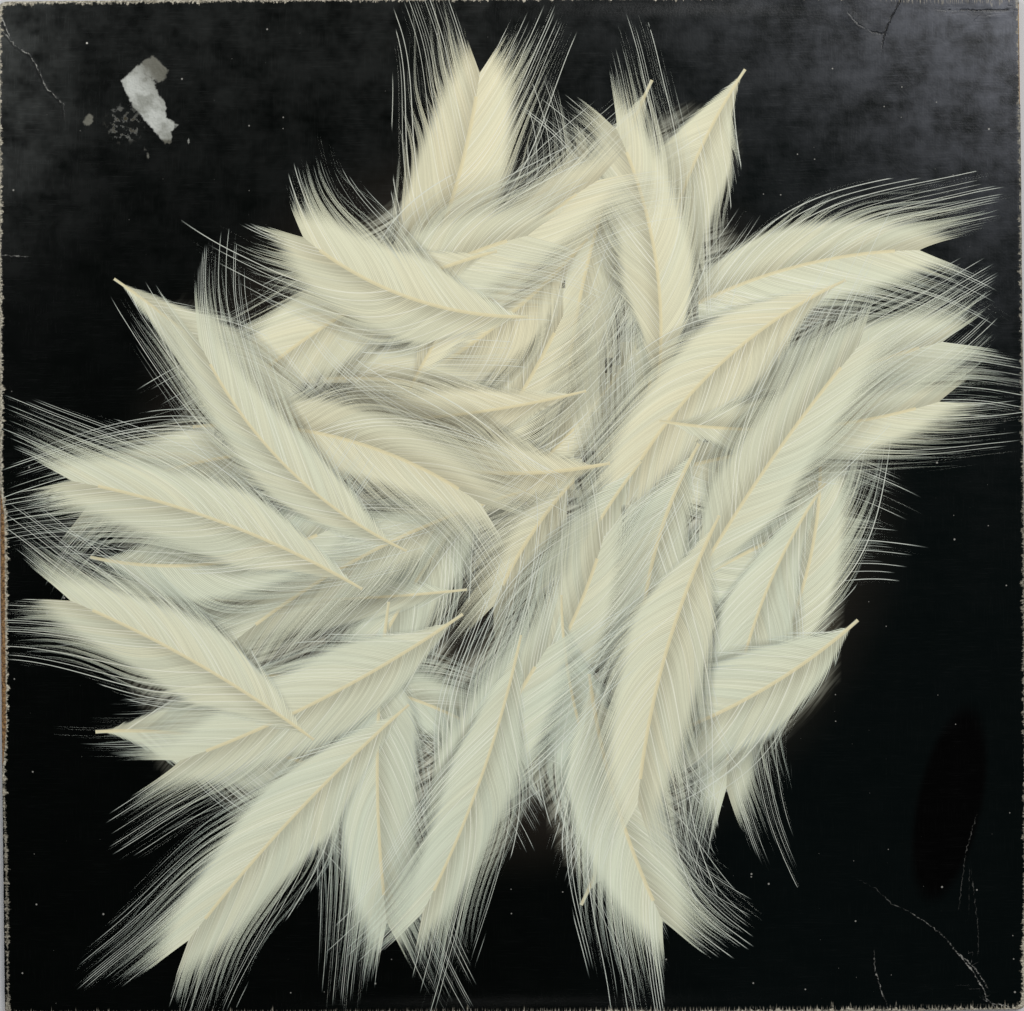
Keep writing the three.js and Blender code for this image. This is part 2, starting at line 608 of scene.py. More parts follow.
def added(name: str) -> bpy.types.Object:
    """Names the primitive that was just added.

    Args:
        name: Its name, and its mesh's.

    Returns:
        The primitive.
    """
    piece = bpy.context.active_object
    piece.name = name
    piece.data.name = name
    return piece


def points_of(piece: bpy.types.Object) -> np.ndarray:
    """Reads a mesh's points.

    Args:
        piece: The piece.

    Returns:
        Its points, one row each.
    """
    points = np.empty(len(piece.data.vertices) * 3)
    piece.data.vertices.foreach_get("co", points)
    return points.reshape(-1, 3)


def set_points(piece: bpy.types.Object, points: np.ndarray) -> None:
    """Moves a mesh's points."""
    piece.data.vertices.foreach_set("co", np.ascontiguousarray(points).ravel())
    piece.data.update()


def apply_modifier(piece: bpy.types.Object, kind: str, **settings: object) -> None:
    """Adds a modifier to a piece and applies it.

    Args:
        piece: The piece.
        kind: The type of modifier.
        settings: Properties to set on it.
    """
    select_only(piece)
    modifier = piece.modifiers.new(kind.lower(), kind)
    for name, value in settings.items():
        setattr(modifier, name, value)
    bpy.ops.object.modifier_apply(modifier=modifier.name)


def shade(piece: bpy.types.Object, degrees: float) -> None:
    """Shades a piece smooth where its faces meet at less than an angle."""
    select_only(piece)
    bpy.ops.object.shade_smooth_by_angle(angle=math.radians(degrees))


def corners_of(piece: bpy.types.Object) -> tuple[np.ndarray, np.ndarray, np.ndarray]:
    """Reads how a mesh's faces lie in its list of corners.

    Args:
        piece: The piece.

    Returns:
        The point at each corner, each face's first corner, and how many corners each face has.
    """
    mesh = piece.data
    corners = np.empty(len(mesh.loops), np.int32)
    mesh.loops.foreach_get("vertex_index", corners)
    starts = np.empty(len(mesh.polygons), np.int32)
    mesh.polygons.foreach_get("loop_start", starts)
    return corners, starts, np.diff(np.append(starts, len(corners)))


def keep_numbers(piece: bpy.types.Object, name: str, domain: str, values: np.ndarray) -> None:
    """Keeps a number for each point or face corner of a mesh, for its finish to read.

    Args:
        piece: The piece.
        name: The attribute's name.
        domain: POINT or CORNER.
        values: The numbers.
    """
    made = piece.data.attributes.new(name, "FLOAT", domain)
    made.data.foreach_set("value", values.astype(np.float32))


def keep_vectors(piece: bpy.types.Object, name: str, domain: str, values: np.ndarray) -> None:
    """Keeps a vector for each point or face corner of a mesh, for its finish to read.

    Args:
        piece: The piece.
        name: The attribute's name.
        domain: POINT or CORNER.
        values: The vectors, one row each.
    """
    made = piece.data.attributes.new(name, "FLOAT_VECTOR", domain)
    made.data.foreach_set("vector", values.astype(np.float32).ravel())


def lines(*knots: tuple[float, int]) -> np.ndarray:
    """Spaces grid lines.

    Args:
        knots: Where each stretch starts and how many cells it has, and then where the last one ends.

    Returns:
        Where the lines lie.
    """
    stretches = [
        np.linspace(start, end, cells, endpoint=False)
        for (start, cells), (end, _) in zip(knots, knots[1:])
    ]
    return np.append(np.concatenate(stretches), knots[-1][0])


def mirrored(*knots: tuple[float, int]) -> np.ndarray:
    """Grid lines on both sides of 0, from the knots of the positive side."""
    side = lines(*knots)
    return np.concatenate([-side[:0:-1], side])


def add_grid(name: str, columns: int, rows: int) -> tuple[bpy.types.Object, np.ndarray, np.ndarray]:
    """Adds a grid of that many lines each way.

    Args:
        name: The piece's name.
        columns: Lines along X.
        rows: Lines along Y.

    Returns:
        The piece, and the column and the row of each point.
    """
    bpy.ops.object.select_all(action="DESELECT")
    bpy.ops.mesh.primitive_grid_add(x_subdivisions=columns - 1, y_subdivisions=rows - 1, size=2)
    piece = added(name)
    shares = (points_of(piece) + 1) / 2
    column = np.rint(shares[:, 0] * (columns - 1)).astype(int)
    row = np.rint(shares[:, 1] * (rows - 1)).astype(int)
    return piece, column, row


def select_edges(piece: bpy.types.Object, test: Callable[[bmesh.types.BMEdge], bool]) -> None:
    """Selects the edges that pass a test, and nothing else.

    Args:
        piece: The piece, in edit mode.
        test: Whether an edge is to be selected.
    """
    bpy.ops.mesh.select_all(action="DESELECT")
    bpy.ops.mesh.select_mode(type="EDGE")
    mesh = bmesh.from_edit_mesh(piece.data)
    for edge in mesh.edges:
        edge.select_set(test(edge))
    mesh.select_flush_mode()
    bmesh.update_edit_mesh(piece.data)


def extrude_rim(piece: bpy.types.Object, place: Callable[[Vector], Vector]) -> None:
    """Extrudes the selected rim and moves the new points.

    Args:
        piece: The piece, in edit mode.
        place: Gives the new place of a point.
    """
    bpy.ops.mesh.extrude_region_move()
    mesh = bmesh.from_edit_mesh(piece.data)
    for point in mesh.verts:
        if point.select:
            point.co = place(point.co)
    bmesh.update_edit_mesh(piece.data)


def finish_piece(piece: bpy.types.Object, slot: str, *nodes: str) -> None:
    """Rides a piece on the sleeve in place of CAD nodes.

    Args:
        piece: The piece.
        slot: The record's slot for its material; not used.
        nodes: The CAD nodes that it stands for.
    """
    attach(piece, BODY)
    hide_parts(*nodes)
    log.info("%s: %d faces in place of %s", piece.name, len(piece.data.polygons), ", ".join(nodes))


# ---- The shape that the whole front follows


@dataclass(frozen=True)
class Drape:
    """How the front lies: level over the disc, lower at the corners, bent down to two glued edges."""

    half_width: float
    half_height: float
    level: float
    edge_level: float
    disc_radius: float
    corner_fall: float = 1.7 * MM
    bend_start: float = 7.0 * MM
    bend_end: float = 0.6 * MM
    warp: float = 0.12 * MM
    corner_radius: float = 2.6 * MM
    card: float = 0.6 * MM
    paper: float = 0.2 * MM
    gap: float = 0.05 * MM

    def height(self, x: np.ndarray, y: np.ndarray) -> np.ndarray:
        """Works out the front's outer height.

        Args:
            x: First coordinate of each point.
            y: Second coordinate of each point.

        Returns:
            The height at each point.
        """
        corner = math.hypot(self.half_width, self.half_height) - self.disc_radius
        outside = np.clip((np.hypot(x, y) - self.disc_radius + 5 * MM) / corner, 0, None)
        free = self.level - self.corner_fall * outside**1.3 + self.warp * self.waves(x, y)
        inward = self.half_height - np.abs(y)
        bend = np.clip((self.bend_start - inward) / (self.bend_start - self.bend_end), 0, 1)
        edge = np.minimum(self.edge_level, free)
        return free + (edge - free) * (bend * bend * (3 - 2 * bend))

    def ceiling(self, x: np.ndarray, y: np.ndarray) -> np.ndarray:
        """The height of the pocket's ceiling, under the front card."""
        return self.height(x, y) - self.paper - self.gap - self.card

    def rounded(self, x: np.ndarray, y: np.ndarray) -> tuple[np.ndarray, np.ndarray]:
        """Rounds a square-cornered sheet's corners.

        Args:
            x: First coordinate of each point.
            y: Second coordinate of each point.

        Returns:
            The moved coordinates.
        """
        over_x = np.abs(x) - (self.half_width - self.corner_radius)
        over_y = np.abs(y) - (self.half_height - self.corner_radius)
        corner = (over_x > 0) & (over_y > 0)
        size = np.where(corner, np.hypot(over_x, over_y), 1.0)
        scale = np.where(corner, np.maximum(over_x, over_y) / size, 1.0) - 1
        return (
            np.where(corner, x + np.sign(x) * over_x * scale, x),
            np.where(corner, y + np.sign(y) * over_y * scale, y),
        )

    def waves(self, x: np.ndarray, y: np.ndarray) -> np.ndarray:
        """Works out the slow waves of old card.

        Args:
            x: First coordinate of each point.
            y: Second coordinate of each point.

        Returns:
            A number from 0 to 1 at each point.
        """
        first = np.sin(31 * x + 12 * y + 0.6) * np.sin(23 * y - 17 * x + 1.9)
        second = np.sin(67 * x + 41 * y) * np.sin(59 * y - 29 * x + 0.4)
        return 0.5 + 0.35 * first + 0.15 * second


Points = tuple[Plan, ...]


def polyline_field(x: np.ndarray, y: np.ndarray, points: Points) -> tuple[np.ndarray, np.ndarray]:
    """Works out where points in plan lie from a line of straight stretches, in millimetres.

    Args:
        x: First coordinate of each point.
        y: Second coordinate of each point.
        points: The line's corners.

    Returns:
        The distance, negative on the line's right, and the share of the line at the nearest place.
    """
    lengths = [math.dist(a, b) for a, b in zip(points, points[1:])]
    nearest = np.full(x.shape, 1e6)
    share = np.zeros(x.shape)
    done = 0.0
    for (ax, ay), (bx, by), length in zip(points, points[1:], lengths):
        ux, uy = (bx - ax) / length, (by - ay) / length
        along = np.clip((x - ax) * ux + (y - ay) * uy, 0, length)
        apart = np.hypot(x - ax - along * ux, y - ay - along * uy)
        side = np.where(ux * (y - ay) - uy * (x - ax) < 0, -1.0, 1.0)
        closer = apart < np.abs(nearest)
        nearest = np.where(closer, apart * side, nearest)
        share = np.where(closer, (done + along) / sum(lengths), share)
        done += length
    return nearest, share


@dataclass(frozen=True)
class Crease:
    """A fold across the print: its line in millimetres, how white its crack is and what it bends. A
    white below 0 draws no crack but a painted shadow line along the fold.

    The rises and fades are the shares of the line over which it starts and ends.
    """

    points: Points
    white: float = 1.0
    ridge: float = 0.08
    left_fall: float = 0.0
    right_fall: float = 0.0
    fall_reach: float = 14.0
    rise: float = 0.08
    fade: float = 0.15
    ridge_rise: float = 0.05
    ridge_fade: float = 0.3
    ridge_width: float = 0.9

    def field(self, x: np.ndarray, y: np.ndarray) -> tuple[np.ndarray, np.ndarray]:
        """Works out where points lie from the crease.

        Args:
            x: First coordinate of each point.
            y: Second coordinate of each point.

        Returns:
            Its signed distance in millimetres, and its strength, which fades at both ends.
        """
        distance, share = polyline_field(x, y, self.points)
        ends = np.clip(share / self.rise, 0, 1) * np.clip((1 - share) / self.fade, 0, 1)
        return distance, self.white * ends

    def relief(self, x: np.ndarray, y: np.ndarray) -> np.ndarray:
        """Works out what the crease adds to the front's height.

        Args:
            x: First coordinate of each point.
            y: Second coordinate of each point.

        Returns:
            The added height in millimetres.
        """
        distance, share = polyline_field(x, y, self.points)
        start, end = share / self.ridge_rise, (1 - share) / self.ridge_fade
        ends = np.clip(start, 0, 1) * np.clip(end, 0, 1)
        fall = np.where(distance > 0, self.left_fall, self.right_fall)
        apart = np.abs(distance)
        flattening = np.clip(1 - apart / self.fall_reach, 0, 1) ** 2
        slope = fall * np.minimum(apart, self.fall_reach / 3) * flattening
        return ends * (self.ridge * np.exp(-((apart / self.ridge_width) ** 2)) - slope)


def polygon_field(x: np.ndarray, y: np.ndarray, points: Points) -> np.ndarray:
    """Works out where points in plan lie from an outline.

    Args:
        x: First coordinate of each point.
        y: Second coordinate of each point.
        points: The outline's corners.

    Returns:
        The distance in millimetres, negative inside.
    """
    distance, _ = polyline_field(x, y, points + points[:1])
    inside = np.zeros(x.shape, bool)
    for (ax, ay), (bx, by) in zip(points, points[1:] + points[:1]):
        crosses = (ay > y) != (by > y)
        reach = ax + (y - ay) * (bx - ax) / ((by - ay) or 1e-9)
        inside ^= crosses & (x < reach)
    return np.where(inside, -np.abs(distance), np.abs(distance))


# ---- The printed design: loose plumes drifting across black


LEAN = 0.28
LEAN_GAIN = 0.36
LEAN_START, LEAN_END = 0.35, 1.15
LEAN_CURL = 0.12
OPEN_START, OPEN_END = -0.05, 0.24
TAPER = 0.72
TAPER_POWER = 2.4


@dataclass(frozen=True)
class Plume:
    """One printed plume, in millimetres and radians."""

    root_x: float
    root_y: float
    heading: float
    length: float
    half_width: float
    bend: float
    tone: float
    sparse: float
    key: float

    def frame(self, x: np.ndarray, y: np.ndarray) -> tuple[np.ndarray, np.ndarray]:
        """Works out where points lie in the plume.

        Args:
            x: First coordinate of each point.
            y: Second coordinate of each point.

        Returns:
            The share of its length along its shaft, and the share of its half width across it.
        """
        cosine, sine = math.cos(self.heading), math.sin(self.heading)
        forward = (x - self.root_x) * cosine + (y - self.root_y) * sine
        sideways = (y - self.root_y) * cosine - (x - self.root_x) * sine
        radius = self.length / self.bend
        turn = math.copysign(1.0, radius)
        across = turn * (abs(radius) - np.hypot(forward, abs(radius) - turn * sideways))
        along = abs(radius) * np.arctan2(forward, abs(radius) - turn * sideways)
        return along / self.length, across / self.half_width

    def reaches(
        self, along: np.ndarray, across: np.ndarray
    ) -> tuple[np.ndarray, np.ndarray, np.ndarray]:
        """Works out where the plume shows.

        Args:
            along: Shares of its length along its shaft.
            across: Shares of its half width across it.

        Returns:
            Where its hairs may reach, where its vane hides all under it, and about how much it covers.
        """
        out = np.abs(across)
        bent = np.clip((along - LEAN_START) / (LEAN_END - LEAN_START), 0, 1)
        lean = LEAN + LEAN_GAIN * bent * bent * (3 - 2 * bent)
        root = along - out * lean - out * out * LEAN_CURL
        slack = 0.02 + 0.08 * out
        early, late = root - slack, root + slack

        def opened(at: np.ndarray) -> np.ndarray:
            """How far the vane has opened out from the quill, from 0 to 1."""
            return np.clip((at - OPEN_START) / (OPEN_END - OPEN_START), 0, 1) ** 1.5

        def tapered(at: np.ndarray) -> np.ndarray:
            """The share of its width that the vane keeps toward the tip."""
            return 1.0 - TAPER * np.clip(at, 0, 1) ** TAPER_POWER

        widest = opened(late) * tapered(early) * 1.1 + 0.05
        near = (late > -0.06) & (early < 1.01) & (out < widest)
        dense = opened(early) * tapered(late) * (0.52 - 0.75 * self.sparse)
        solid = (root > 0.2) & (root < 0.85) & (out < dense)
        cover = np.clip(np.clip(1 - out / widest, 0, 1) / (0.60 + 0.4 * self.sparse), 0, 1)
        return near, solid, cover * cover * (3 - 2 * cover)

    def body(self, x: np.ndarray, y: np.ndarray) -> np.ndarray:
        """A soft patch at points in plan: 1 along its middle, and 0 past its hairs."""
        along, across = self.frame(x, y)
        return np.exp(-(((along - 0.48) / 0.42) ** 4) - (across / 0.85) ** 4)


@dataclass
class Drift:
    """The printed plumes, laid out by rule from a seed, in millimetres.

    Depths are the numbers of plumes that the finish draws over one another, and edge_depth is that
    number where the sheet is worn.
    """

    seed: int = 7
    count: int = 52
    reach: float = 113.0
    slant: float = 0.12
    scatter: float = 4.0
    turn_scatter: float = 0.30
    tip_room: float = 1.40
    side_room: float = 0.4
    margin_x: float = 149.0
    margin_y: float = 147.0
    lengths: Plan = (70.0, 98.0)
    half_widths: Plan = (17.0, 24.0)
    bends: Plan = (0.15, 0.7)
    layers: int = 4
    depths: tuple[int, ...] = (0, 2, 4)
    edge_depth: int = 2
    tuft_pitch: float = 5.6
    outward_share: float = 0.75
    thin_heap: float = 0.75
    thick_heap: float = 1.75

    def plumes(self) -> list[Plume]:
        """Lays out the plumes.

        Returns:
            The plumes, from the topmost down.
        """
        rng = np.random.default_rng(self.seed)
        golden = math.pi * (3 - math.sqrt(5))
        found = []
        for index in range(self.count):
            angle = index * golden + 0.5
            stretch = 1 + self.slant * math.sin(2 * angle)
            distance = self.reach * stretch * math.sqrt((index + 0.5) / self.count)
            x = distance * math.cos(angle) + rng.normal(0, self.scatter)
            y = distance * math.sin(angle) + rng.normal(0, self.scatter)
            flow = 0.62 + 0.75 * math.sin(x / 62 + 0.9) - 0.65 * math.cos(y / 58 - 0.4)
            heading = flow + rng.normal(0, self.turn_scatter)
            inward = x * math.cos(heading) + y * math.sin(heading) < 0
            if rng.random() < (self.outward_share if inward else 1 - self.outward_share):
                heading += math.pi
            length = rng.uniform(*self.lengths)
            half_width = rng.uniform(*self.half_widths)
            run_x, run_y = (0.5 * length * way for way in (math.cos(heading), math.sin(heading)))
            side_x, side_y = (half_width * abs(way) for way in (math.sin(heading), math.cos(heading)))
            room_x = self.margin_x - self.tip_room * abs(run_x) - self.side_room * side_x
            room_y = self.margin_y - self.tip_room * abs(run_y) - self.side_room * side_y
            x, y = float(np.clip(x, -room_x, room_x)), float(np.clip(y, -room_y, room_y))
            warm = math.exp(-(((x + 5) / 95) ** 2) - ((y - 62) / 70) ** 2)
            thin = math.exp(-(((x - 2) / 62) ** 2) - ((y - 4) / 48) ** 2)
            plume = Plume(
                root_x=x - run_x,
                root_y=y - run_y,
                heading=heading,
                length=length,
                half_width=half_width,
                bend=rng.choice((-1, 1)) * rng.uniform(*self.bends),
                tone=float(np.clip(0.74 - 0.72 * warm + rng.normal(0, 0.12), 0, 1)),
                sparse=float(np.clip(thin * 0.45 + rng.normal(0, 0.06), 0, 0.5)),
                key=float(index) * 3.7 + 1.3,
            )
            order = 0.8 * x * math.cos(0.7) + 0.8 * y * math.sin(0.7) + rng.normal(0, 34) + 60 * thin
            found.append((order, plume))
        return [plume for _, plume in sorted(found, key=lambda entry: entry[0])]

    def weights(
        self,
        plumes: list[Plume],
        x: np.ndarray,
        y: np.ndarray,
        faces: tuple[np.ndarray, np.ndarray],
        printed: np.ndarray,
    ) -> np.ndarray:
        """Works out how much of each face shows each plume.

        Args:
            plumes: The plumes, from the topmost down.
            x: First coordinate of each face corner.
            y: Second coordinate of each face corner.
            faces: Each face's first corner, and how many corners it has.
            printed: For each face, whether it carries the print.

        Returns:
            A row for each plume with a number for each face, 0 where the plume doesn't reach it.
        """
        starts, sizes = faces
        weights = np.zeros((len(plumes), len(starts)), np.float32)
        in_view = printed.astype(np.float32)
        for weight, plume in zip(weights, plumes):
            near, solid, cover = plume.reaches(*plume.frame(x, y))
            reached = np.logical_or.reduceat(near, starts)
            covered = np.add.reduceat(cover * near, starts) / sizes
            weight[reached] = (in_view * (0.01 + covered))[reached]
            in_view *= 1 - 0.85 * covered
            in_view[np.logical_and.reduceat(solid, starts)] = 0
        return weights

    def mark(self, piece: bpy.types.Object, printed: np.ndarray) -> None:
        """Keeps, for each face, the frames of the plumes that show most on it.

        Args:
            piece: The printed piece.
            printed: For each face, whether it carries the print.
        """
        plumes = self.plumes()
        points = points_of(piece) / MM
        corners, starts, sizes = corners_of(piece)
        x, y, _ = points[corners].T
        weights = self.weights(plumes, x, y, (starts, sizes), printed)
        least = np.partition(weights, -self.layers, axis=0)[-self.layers]
        frames = np.full((self.layers, len(corners), 3), -9.0, np.float32)
        styles = np.full((self.layers, len(corners), 3), 0.5, np.float32)
        used = np.zeros(len(starts), np.int32)
        for weight, plume in zip(weights, plumes):
            kept = (weight > 0) & (weight >= least) & (used < self.layers)
            chosen = np.repeat(kept, sizes)
            layer = np.repeat(used, sizes)[chosen]
            along, across = plume.frame(x[chosen], y[chosen])
            frames[layer, chosen] = np.stack([along, across, np.full_like(along, plume.key)], 1)
            styles[layer, chosen] = (plume.tone, plume.length / self.tuft_pitch, plume.sparse)
            used[kept] += 1
        heap = sum(plume.body(points[:, 0], points[:, 1]) for plume in plumes)
        buried = np.clip((heap - self.thin_heap) / (self.thick_heap - self.thin_heap), 0, 1)
        keep_numbers(piece, "plume_heap", "POINT", buried)
        keep_numbers(piece, "plume_depth", "CORNER", np.repeat(used, sizes))
        for layer in range(self.layers):
            keep_vectors(piece, f"plume_frame_{layer}", "CORNER", frames[layer])
            keep_vectors(piece, f"plume_style_{layer}", "CORNER", styles[layer])
        dropped = int(((weights > 0).sum(axis=0) > self.layers).sum())
        log.info("printed design: %d plumes, %d faces with more than they show", self.count, dropped)


def plume_layer() -> bpy.types.NodeTree:
    """A group that prints one plume over what is under it.

    Returns:
        The group. Frame is (along, across, key), and Style is (tone, tufts, sparseness).
    """
    graph, given = new_group(
        "plume_layer",
        {"Frame": Kind.VECTOR, "Style": Kind.VECTOR, "Under": Kind.COLOUR},
        {"Colour": Kind.COLOUR},
    )
    along, across, key = graph.split(given["Frame"])
    tone, length, sparse = graph.split(given["Style"])
    out = across.abs()
    side = across.above(0.0)
    name = side * 31.7 + key
    sway = graph.math("SINE", along * 9.0 + (across * 1.7 + key)) * 0.5 + 0.5
    lean = along.ramp(LEAN_START, LEAN_END) * LEAN_GAIN + LEAN
    root = along - out * (lean + out * LEAN_CURL - sway * 0.14 + 0.07)
    outline = root.ramp(OPEN_START, OPEN_END) * (1.0 - root.power(TAPER_POWER) * TAPER) * root.below(1.0)

    tufts = root * length
    tuft = tufts.floor()
    spot = (tufts.fract() - 0.5) * (out * out * 1.5 + 1.0)
    tuft_luck = graph.chance(tuft, name)
    strands = (tuft + spot) * 8.0 + 4.0
    strand_luck = graph.chance(strands.floor(), name)
    on_strand = strands.wave()
    tip = outline * (tuft_luck * 0.24 + (strand_luck * 0.36 + 0.56))
    toward_tip = out / tip
    gap = (spot.abs() * toward_tip).ramp(0.36, 0.52)
    fullness = on_strand - gap - toward_tip * 1.15 + (0.55 - sparse * 0.55)
    hair = fullness.lowest((tip - out) * 7.0).ramp(0.06, 0.40)
    vane = (outline * (0.67 - sparse * 0.75) - out).ramp(0.0, 0.14)

    strays = (along - out * (lean + 0.12)) * length * 2.6
    stray_luck = graph.chance(strays.floor(), name)
    stray_reach = (outline * (stray_luck * 0.6 + 0.66) - out) * 4.0
    stray = (strays.wave() + stray_luck * 0.6 - 1.15).lowest(stray_reach).ramp(0.0, 0.32)

    shaft = out.ramp(0.030, 0.016) * (along - 0.43).abs().below(0.48)
    cover = hair.highest(vane).highest(stray * 0.85).highest(shaft)

    cool = toward_tip * 0.20 + (tuft_luck * 0.30 + (tone - 0.15))
    colour = graph.mix(cool, srgb(252, 246, 210), srgb(226, 236, 214))
    colour = graph.mix(toward_tip.ramp(0.6, 1.1) * 0.5, colour, srgb(190, 214, 226))
    furrow = (0.85 - on_strand) * (sparse * 0.5 + 0.24) - strand_luck * 0.16 + 0.16
    fold = out.ramp(0.26, 0.02) * (side * 0.17 + 0.05)
    colour = graph.mix(furrow + fold + side * 0.10, colour, srgb(112, 104, 82))
    colour = graph.mix(stray * 0.55, colour, srgb(250, 250, 236))
    colour = graph.mix(shaft * 0.7, colour, srgb(232, 220, 176))

    shadow = (outline - out).ramp(-0.05, 0.55) * 0.64
    under = graph.dim(given["Under"], shadow)
    return close_group(graph, Colour=graph.mix(cover, under, colour))


# ---- Effects that several finishes share


def hairlines() -> bpy.types.NodeTree:
    """A group of fine faint scratches: mostly along X, some along Y, in patches.

    Returns:
        The group, which puts out Marks.
    """
    graph, given = new_group("hairlines", {"Place": Kind.VECTOR}, {"Marks": Kind.NUMBER})
    level = graph.noise(graph.stretched(given["Place"], 0.11, 2.6), detail=2.0, rough=0.75)
    upright = graph.noise(graph.stretched(given["Place"], 2.4, 0.16))
    patches = graph.noise(graph.stretched(given["Place"], 0.06, 0.09))
    marks = level.ramp(0.52, 0.80) * patches.ramp(0.30, 0.70)
    marks = marks + upright.ramp(0.56, 0.84) * patches.ramp(0.65, 0.35) * 0.35
    return close_group(graph, Marks=marks)


def dust() -> bpy.types.NodeTree:
    """A group of small pale specks of uneven size.

    Returns:
        The group, which puts out Specks.
    """
    inputs = {"Place": Kind.VECTOR, "Amount": Kind.NUMBER}
    graph, given = new_group("dust", inputs, {"Specks": Kind.NUMBER})
    distance, luck = graph.specks(given["Place"], 0.19)
    small = (luck.power(16.0) * 0.075 - distance).ramp(0.0, 0.04)
    return close_group(graph, Specks=small * luck * given["Amount"])


def fibres() -> bpy.types.NodeTree:
    """A group of matted paper fibres, as a height about 0.5.

    Returns:
        The group, which puts out Height.
    """
    graph, given = new_group("fibres", {"Place": Kind.VECTOR}, {"Height": Kind.NUMBER})
    cloudy = graph.noise(given["Place"], 0.9, detail=2.0, rough=0.6)
    level = graph.noise(graph.stretched(given["Place"], 0.9, 4.0), detail=1.0)
    return close_group(graph, Height=cloudy * 0.6 + level * 0.4)


class Effects:
    """The shared groups, each built once."""

    def __init__(self) -> None:
        """Builds the groups."""
        self.plume = plume_layer()
        self.hairlines = hairlines()
        self.dust = dust()
        self.fibres = fibres()


@dataclass(frozen=True)
class Finish:
    """What every finish has: the shared groups, a name, a specular level and nodes of its own."""

    effects: Effects
    name: ClassVar[str]
    specular: ClassVar[float]

    def material(self) -> bpy.types.Material:
        """The finish as a material."""
        return new_material(self.name, self.specular, self.dress)

    def dress(self, graph: Graph) -> Surface:
        """The finish's own nodes, which each kind of finish adds."""
        raise NotImplementedError

    def fibre(self, graph: Graph, flat: Term) -> Term:
        """The height of matted paper fibres."""
        return graph.group(self.effects.fibres, Place=flat)["Height"]

    def marks(self, graph: Graph, flat: Term) -> Term:
        """Fine scratches."""
        return graph.group(self.effects.hairlines, Place=flat)["Marks"]

    def specks(self, graph: Graph, flat: Term, amount: float) -> Term:
        """Dust."""
        return graph.group(self.effects.dust, Place=flat, Amount=amount)["Specks"]


# ---- The printed front sheet

CREASES = (
    Crease(
        points=(
            (-158.0, 148.7), (-154.3, 145.5), (-151.8, 142.4), (-147.5, 139.9), (-145.4, 136.2),
            (-143.8, 132.4), (-142.3, 129.3), (-140.1, 127.4), (-137.1, 124.3), (-136.8, 119.0),
        ),
        white=0.9,
        right_fall=0.045,
    ),
    Crease(
        points=(
            (103.3, -114.4), (111.0, -118.5), (115.7, -123.2), (120.9, -125.4), (125.6, -128.6),
            (130.2, -132.0), (132.7, -134.2), (135.4, -137.9), (140.3, -143.6), (144.0, -149.8),
            (145.2, -152.9), (151.0, -159.0),
        ),
        white=0.85,
        left_fall=0.02,
        right_fall=0.02,
        rise=0.6,
    ),
    Crease(
        points=((121.2, 158.0), (120.1, 153.5), (117.9, 149.8), (115.7, 144.6), (114.6, 139.0)),
        white=-1.0,
        ridge=-0.10,
        right_fall=0.04,
        left_fall=0.02,
        fall_reach=8.0,
    ),
)
SIDE_CREASES = (
    Crease(points=((-156.9, 153.2), (-155.6, 150.0), (-153.4, 145.0)), white=0.9),
    Crease(points=((135.4, -137.9), (139.4, -141.4), (142.5, -144.5), (146.0, -150.5)), white=0.75),
    Crease(points=((143.0, -152.6), (147.0, -154.4), (153.7, -155.6)), white=1.0),
    Crease(
        points=((110.3, -137.5), (110.6, -143.4), (112.4, -149.6), (114.2, -154.2), (115.2, -159.0)),
        white=0.7,
    ),
    Crease(
        points=((142.4, -95.0), (138.7, -107.9), (137.1, -120.3), (136.2, -127.0)),
        white=0.3,
        ridge=0.0,
    ),
    Crease(
        points=((140.3, -112.5), (141.7, -123.4), (142.6, -132.7), (142.5, -141.0)),
        white=0.3,
        ridge=0.0,
    ),
    Crease(points=((104.2, 151.0), (107.3, 147.4), (109.5, 145.9), (112.0, 145.0)), white=0.6),
    Crease(points=((109.8, 145.8), (112.6, 144.7), (116.5, 144.4)), white=-0.8, ridge=-0.05),
    Crease(points=((131.5, 151.9), (145.0, 151.5), (158.5, 151.6)), white=-1.0, ridge=-0.05),
    Crease(points=((131.6, 152.0), (136.0, 151.0), (141.0, 152.2)), white=0.6, ridge=0.0),
    Crease(points=((159.5, 153.0), (152.3, 150.7), (146.0, 149.5)), white=0.35),
    Crease(points=((-158.5, 78.3), (-153.0, 77.9), (-147.0, 77.4)), white=0.6, ridge=0.0),
)
TORN = (
    (
        (-119.6, 131.3), (-113.4, 136.9), (-109.3, 139.3), (-104.4, 134.3), (-106.9, 130.3),
        (-110.0, 132.2), (-107.6, 127.2), (-105.4, 124.1), (-105.4, 120.0), (-101.4, 117.5),
        (-103.6, 116.0), (-103.9, 112.0), (-106.1, 112.0), (-110.7, 117.6), (-115.7, 123.2),
    ),
    ((-131.5, 118.7), (-129.0, 121.9), (-127.3, 119.3), (-129.7, 117.2)),
    ((-112.6, 111.0), (-111.4, 110.6), (-110.2, 107.0), (-111.2, 107.4)),
    ((-99.4, 113.6), (-98.5, 113.4), (-98.0, 111.2), (-98.9, 111.8)),
)
FLECKED = (-118.5, 118.0)
CHIP = (-129.8, 143.2)
CHIP_RADIUS = 0.42
BLACKER = (133.8, -92.7)
BLACKER_HALF = (11.36, 32.9)
BLACKER_LEAN = 0.19


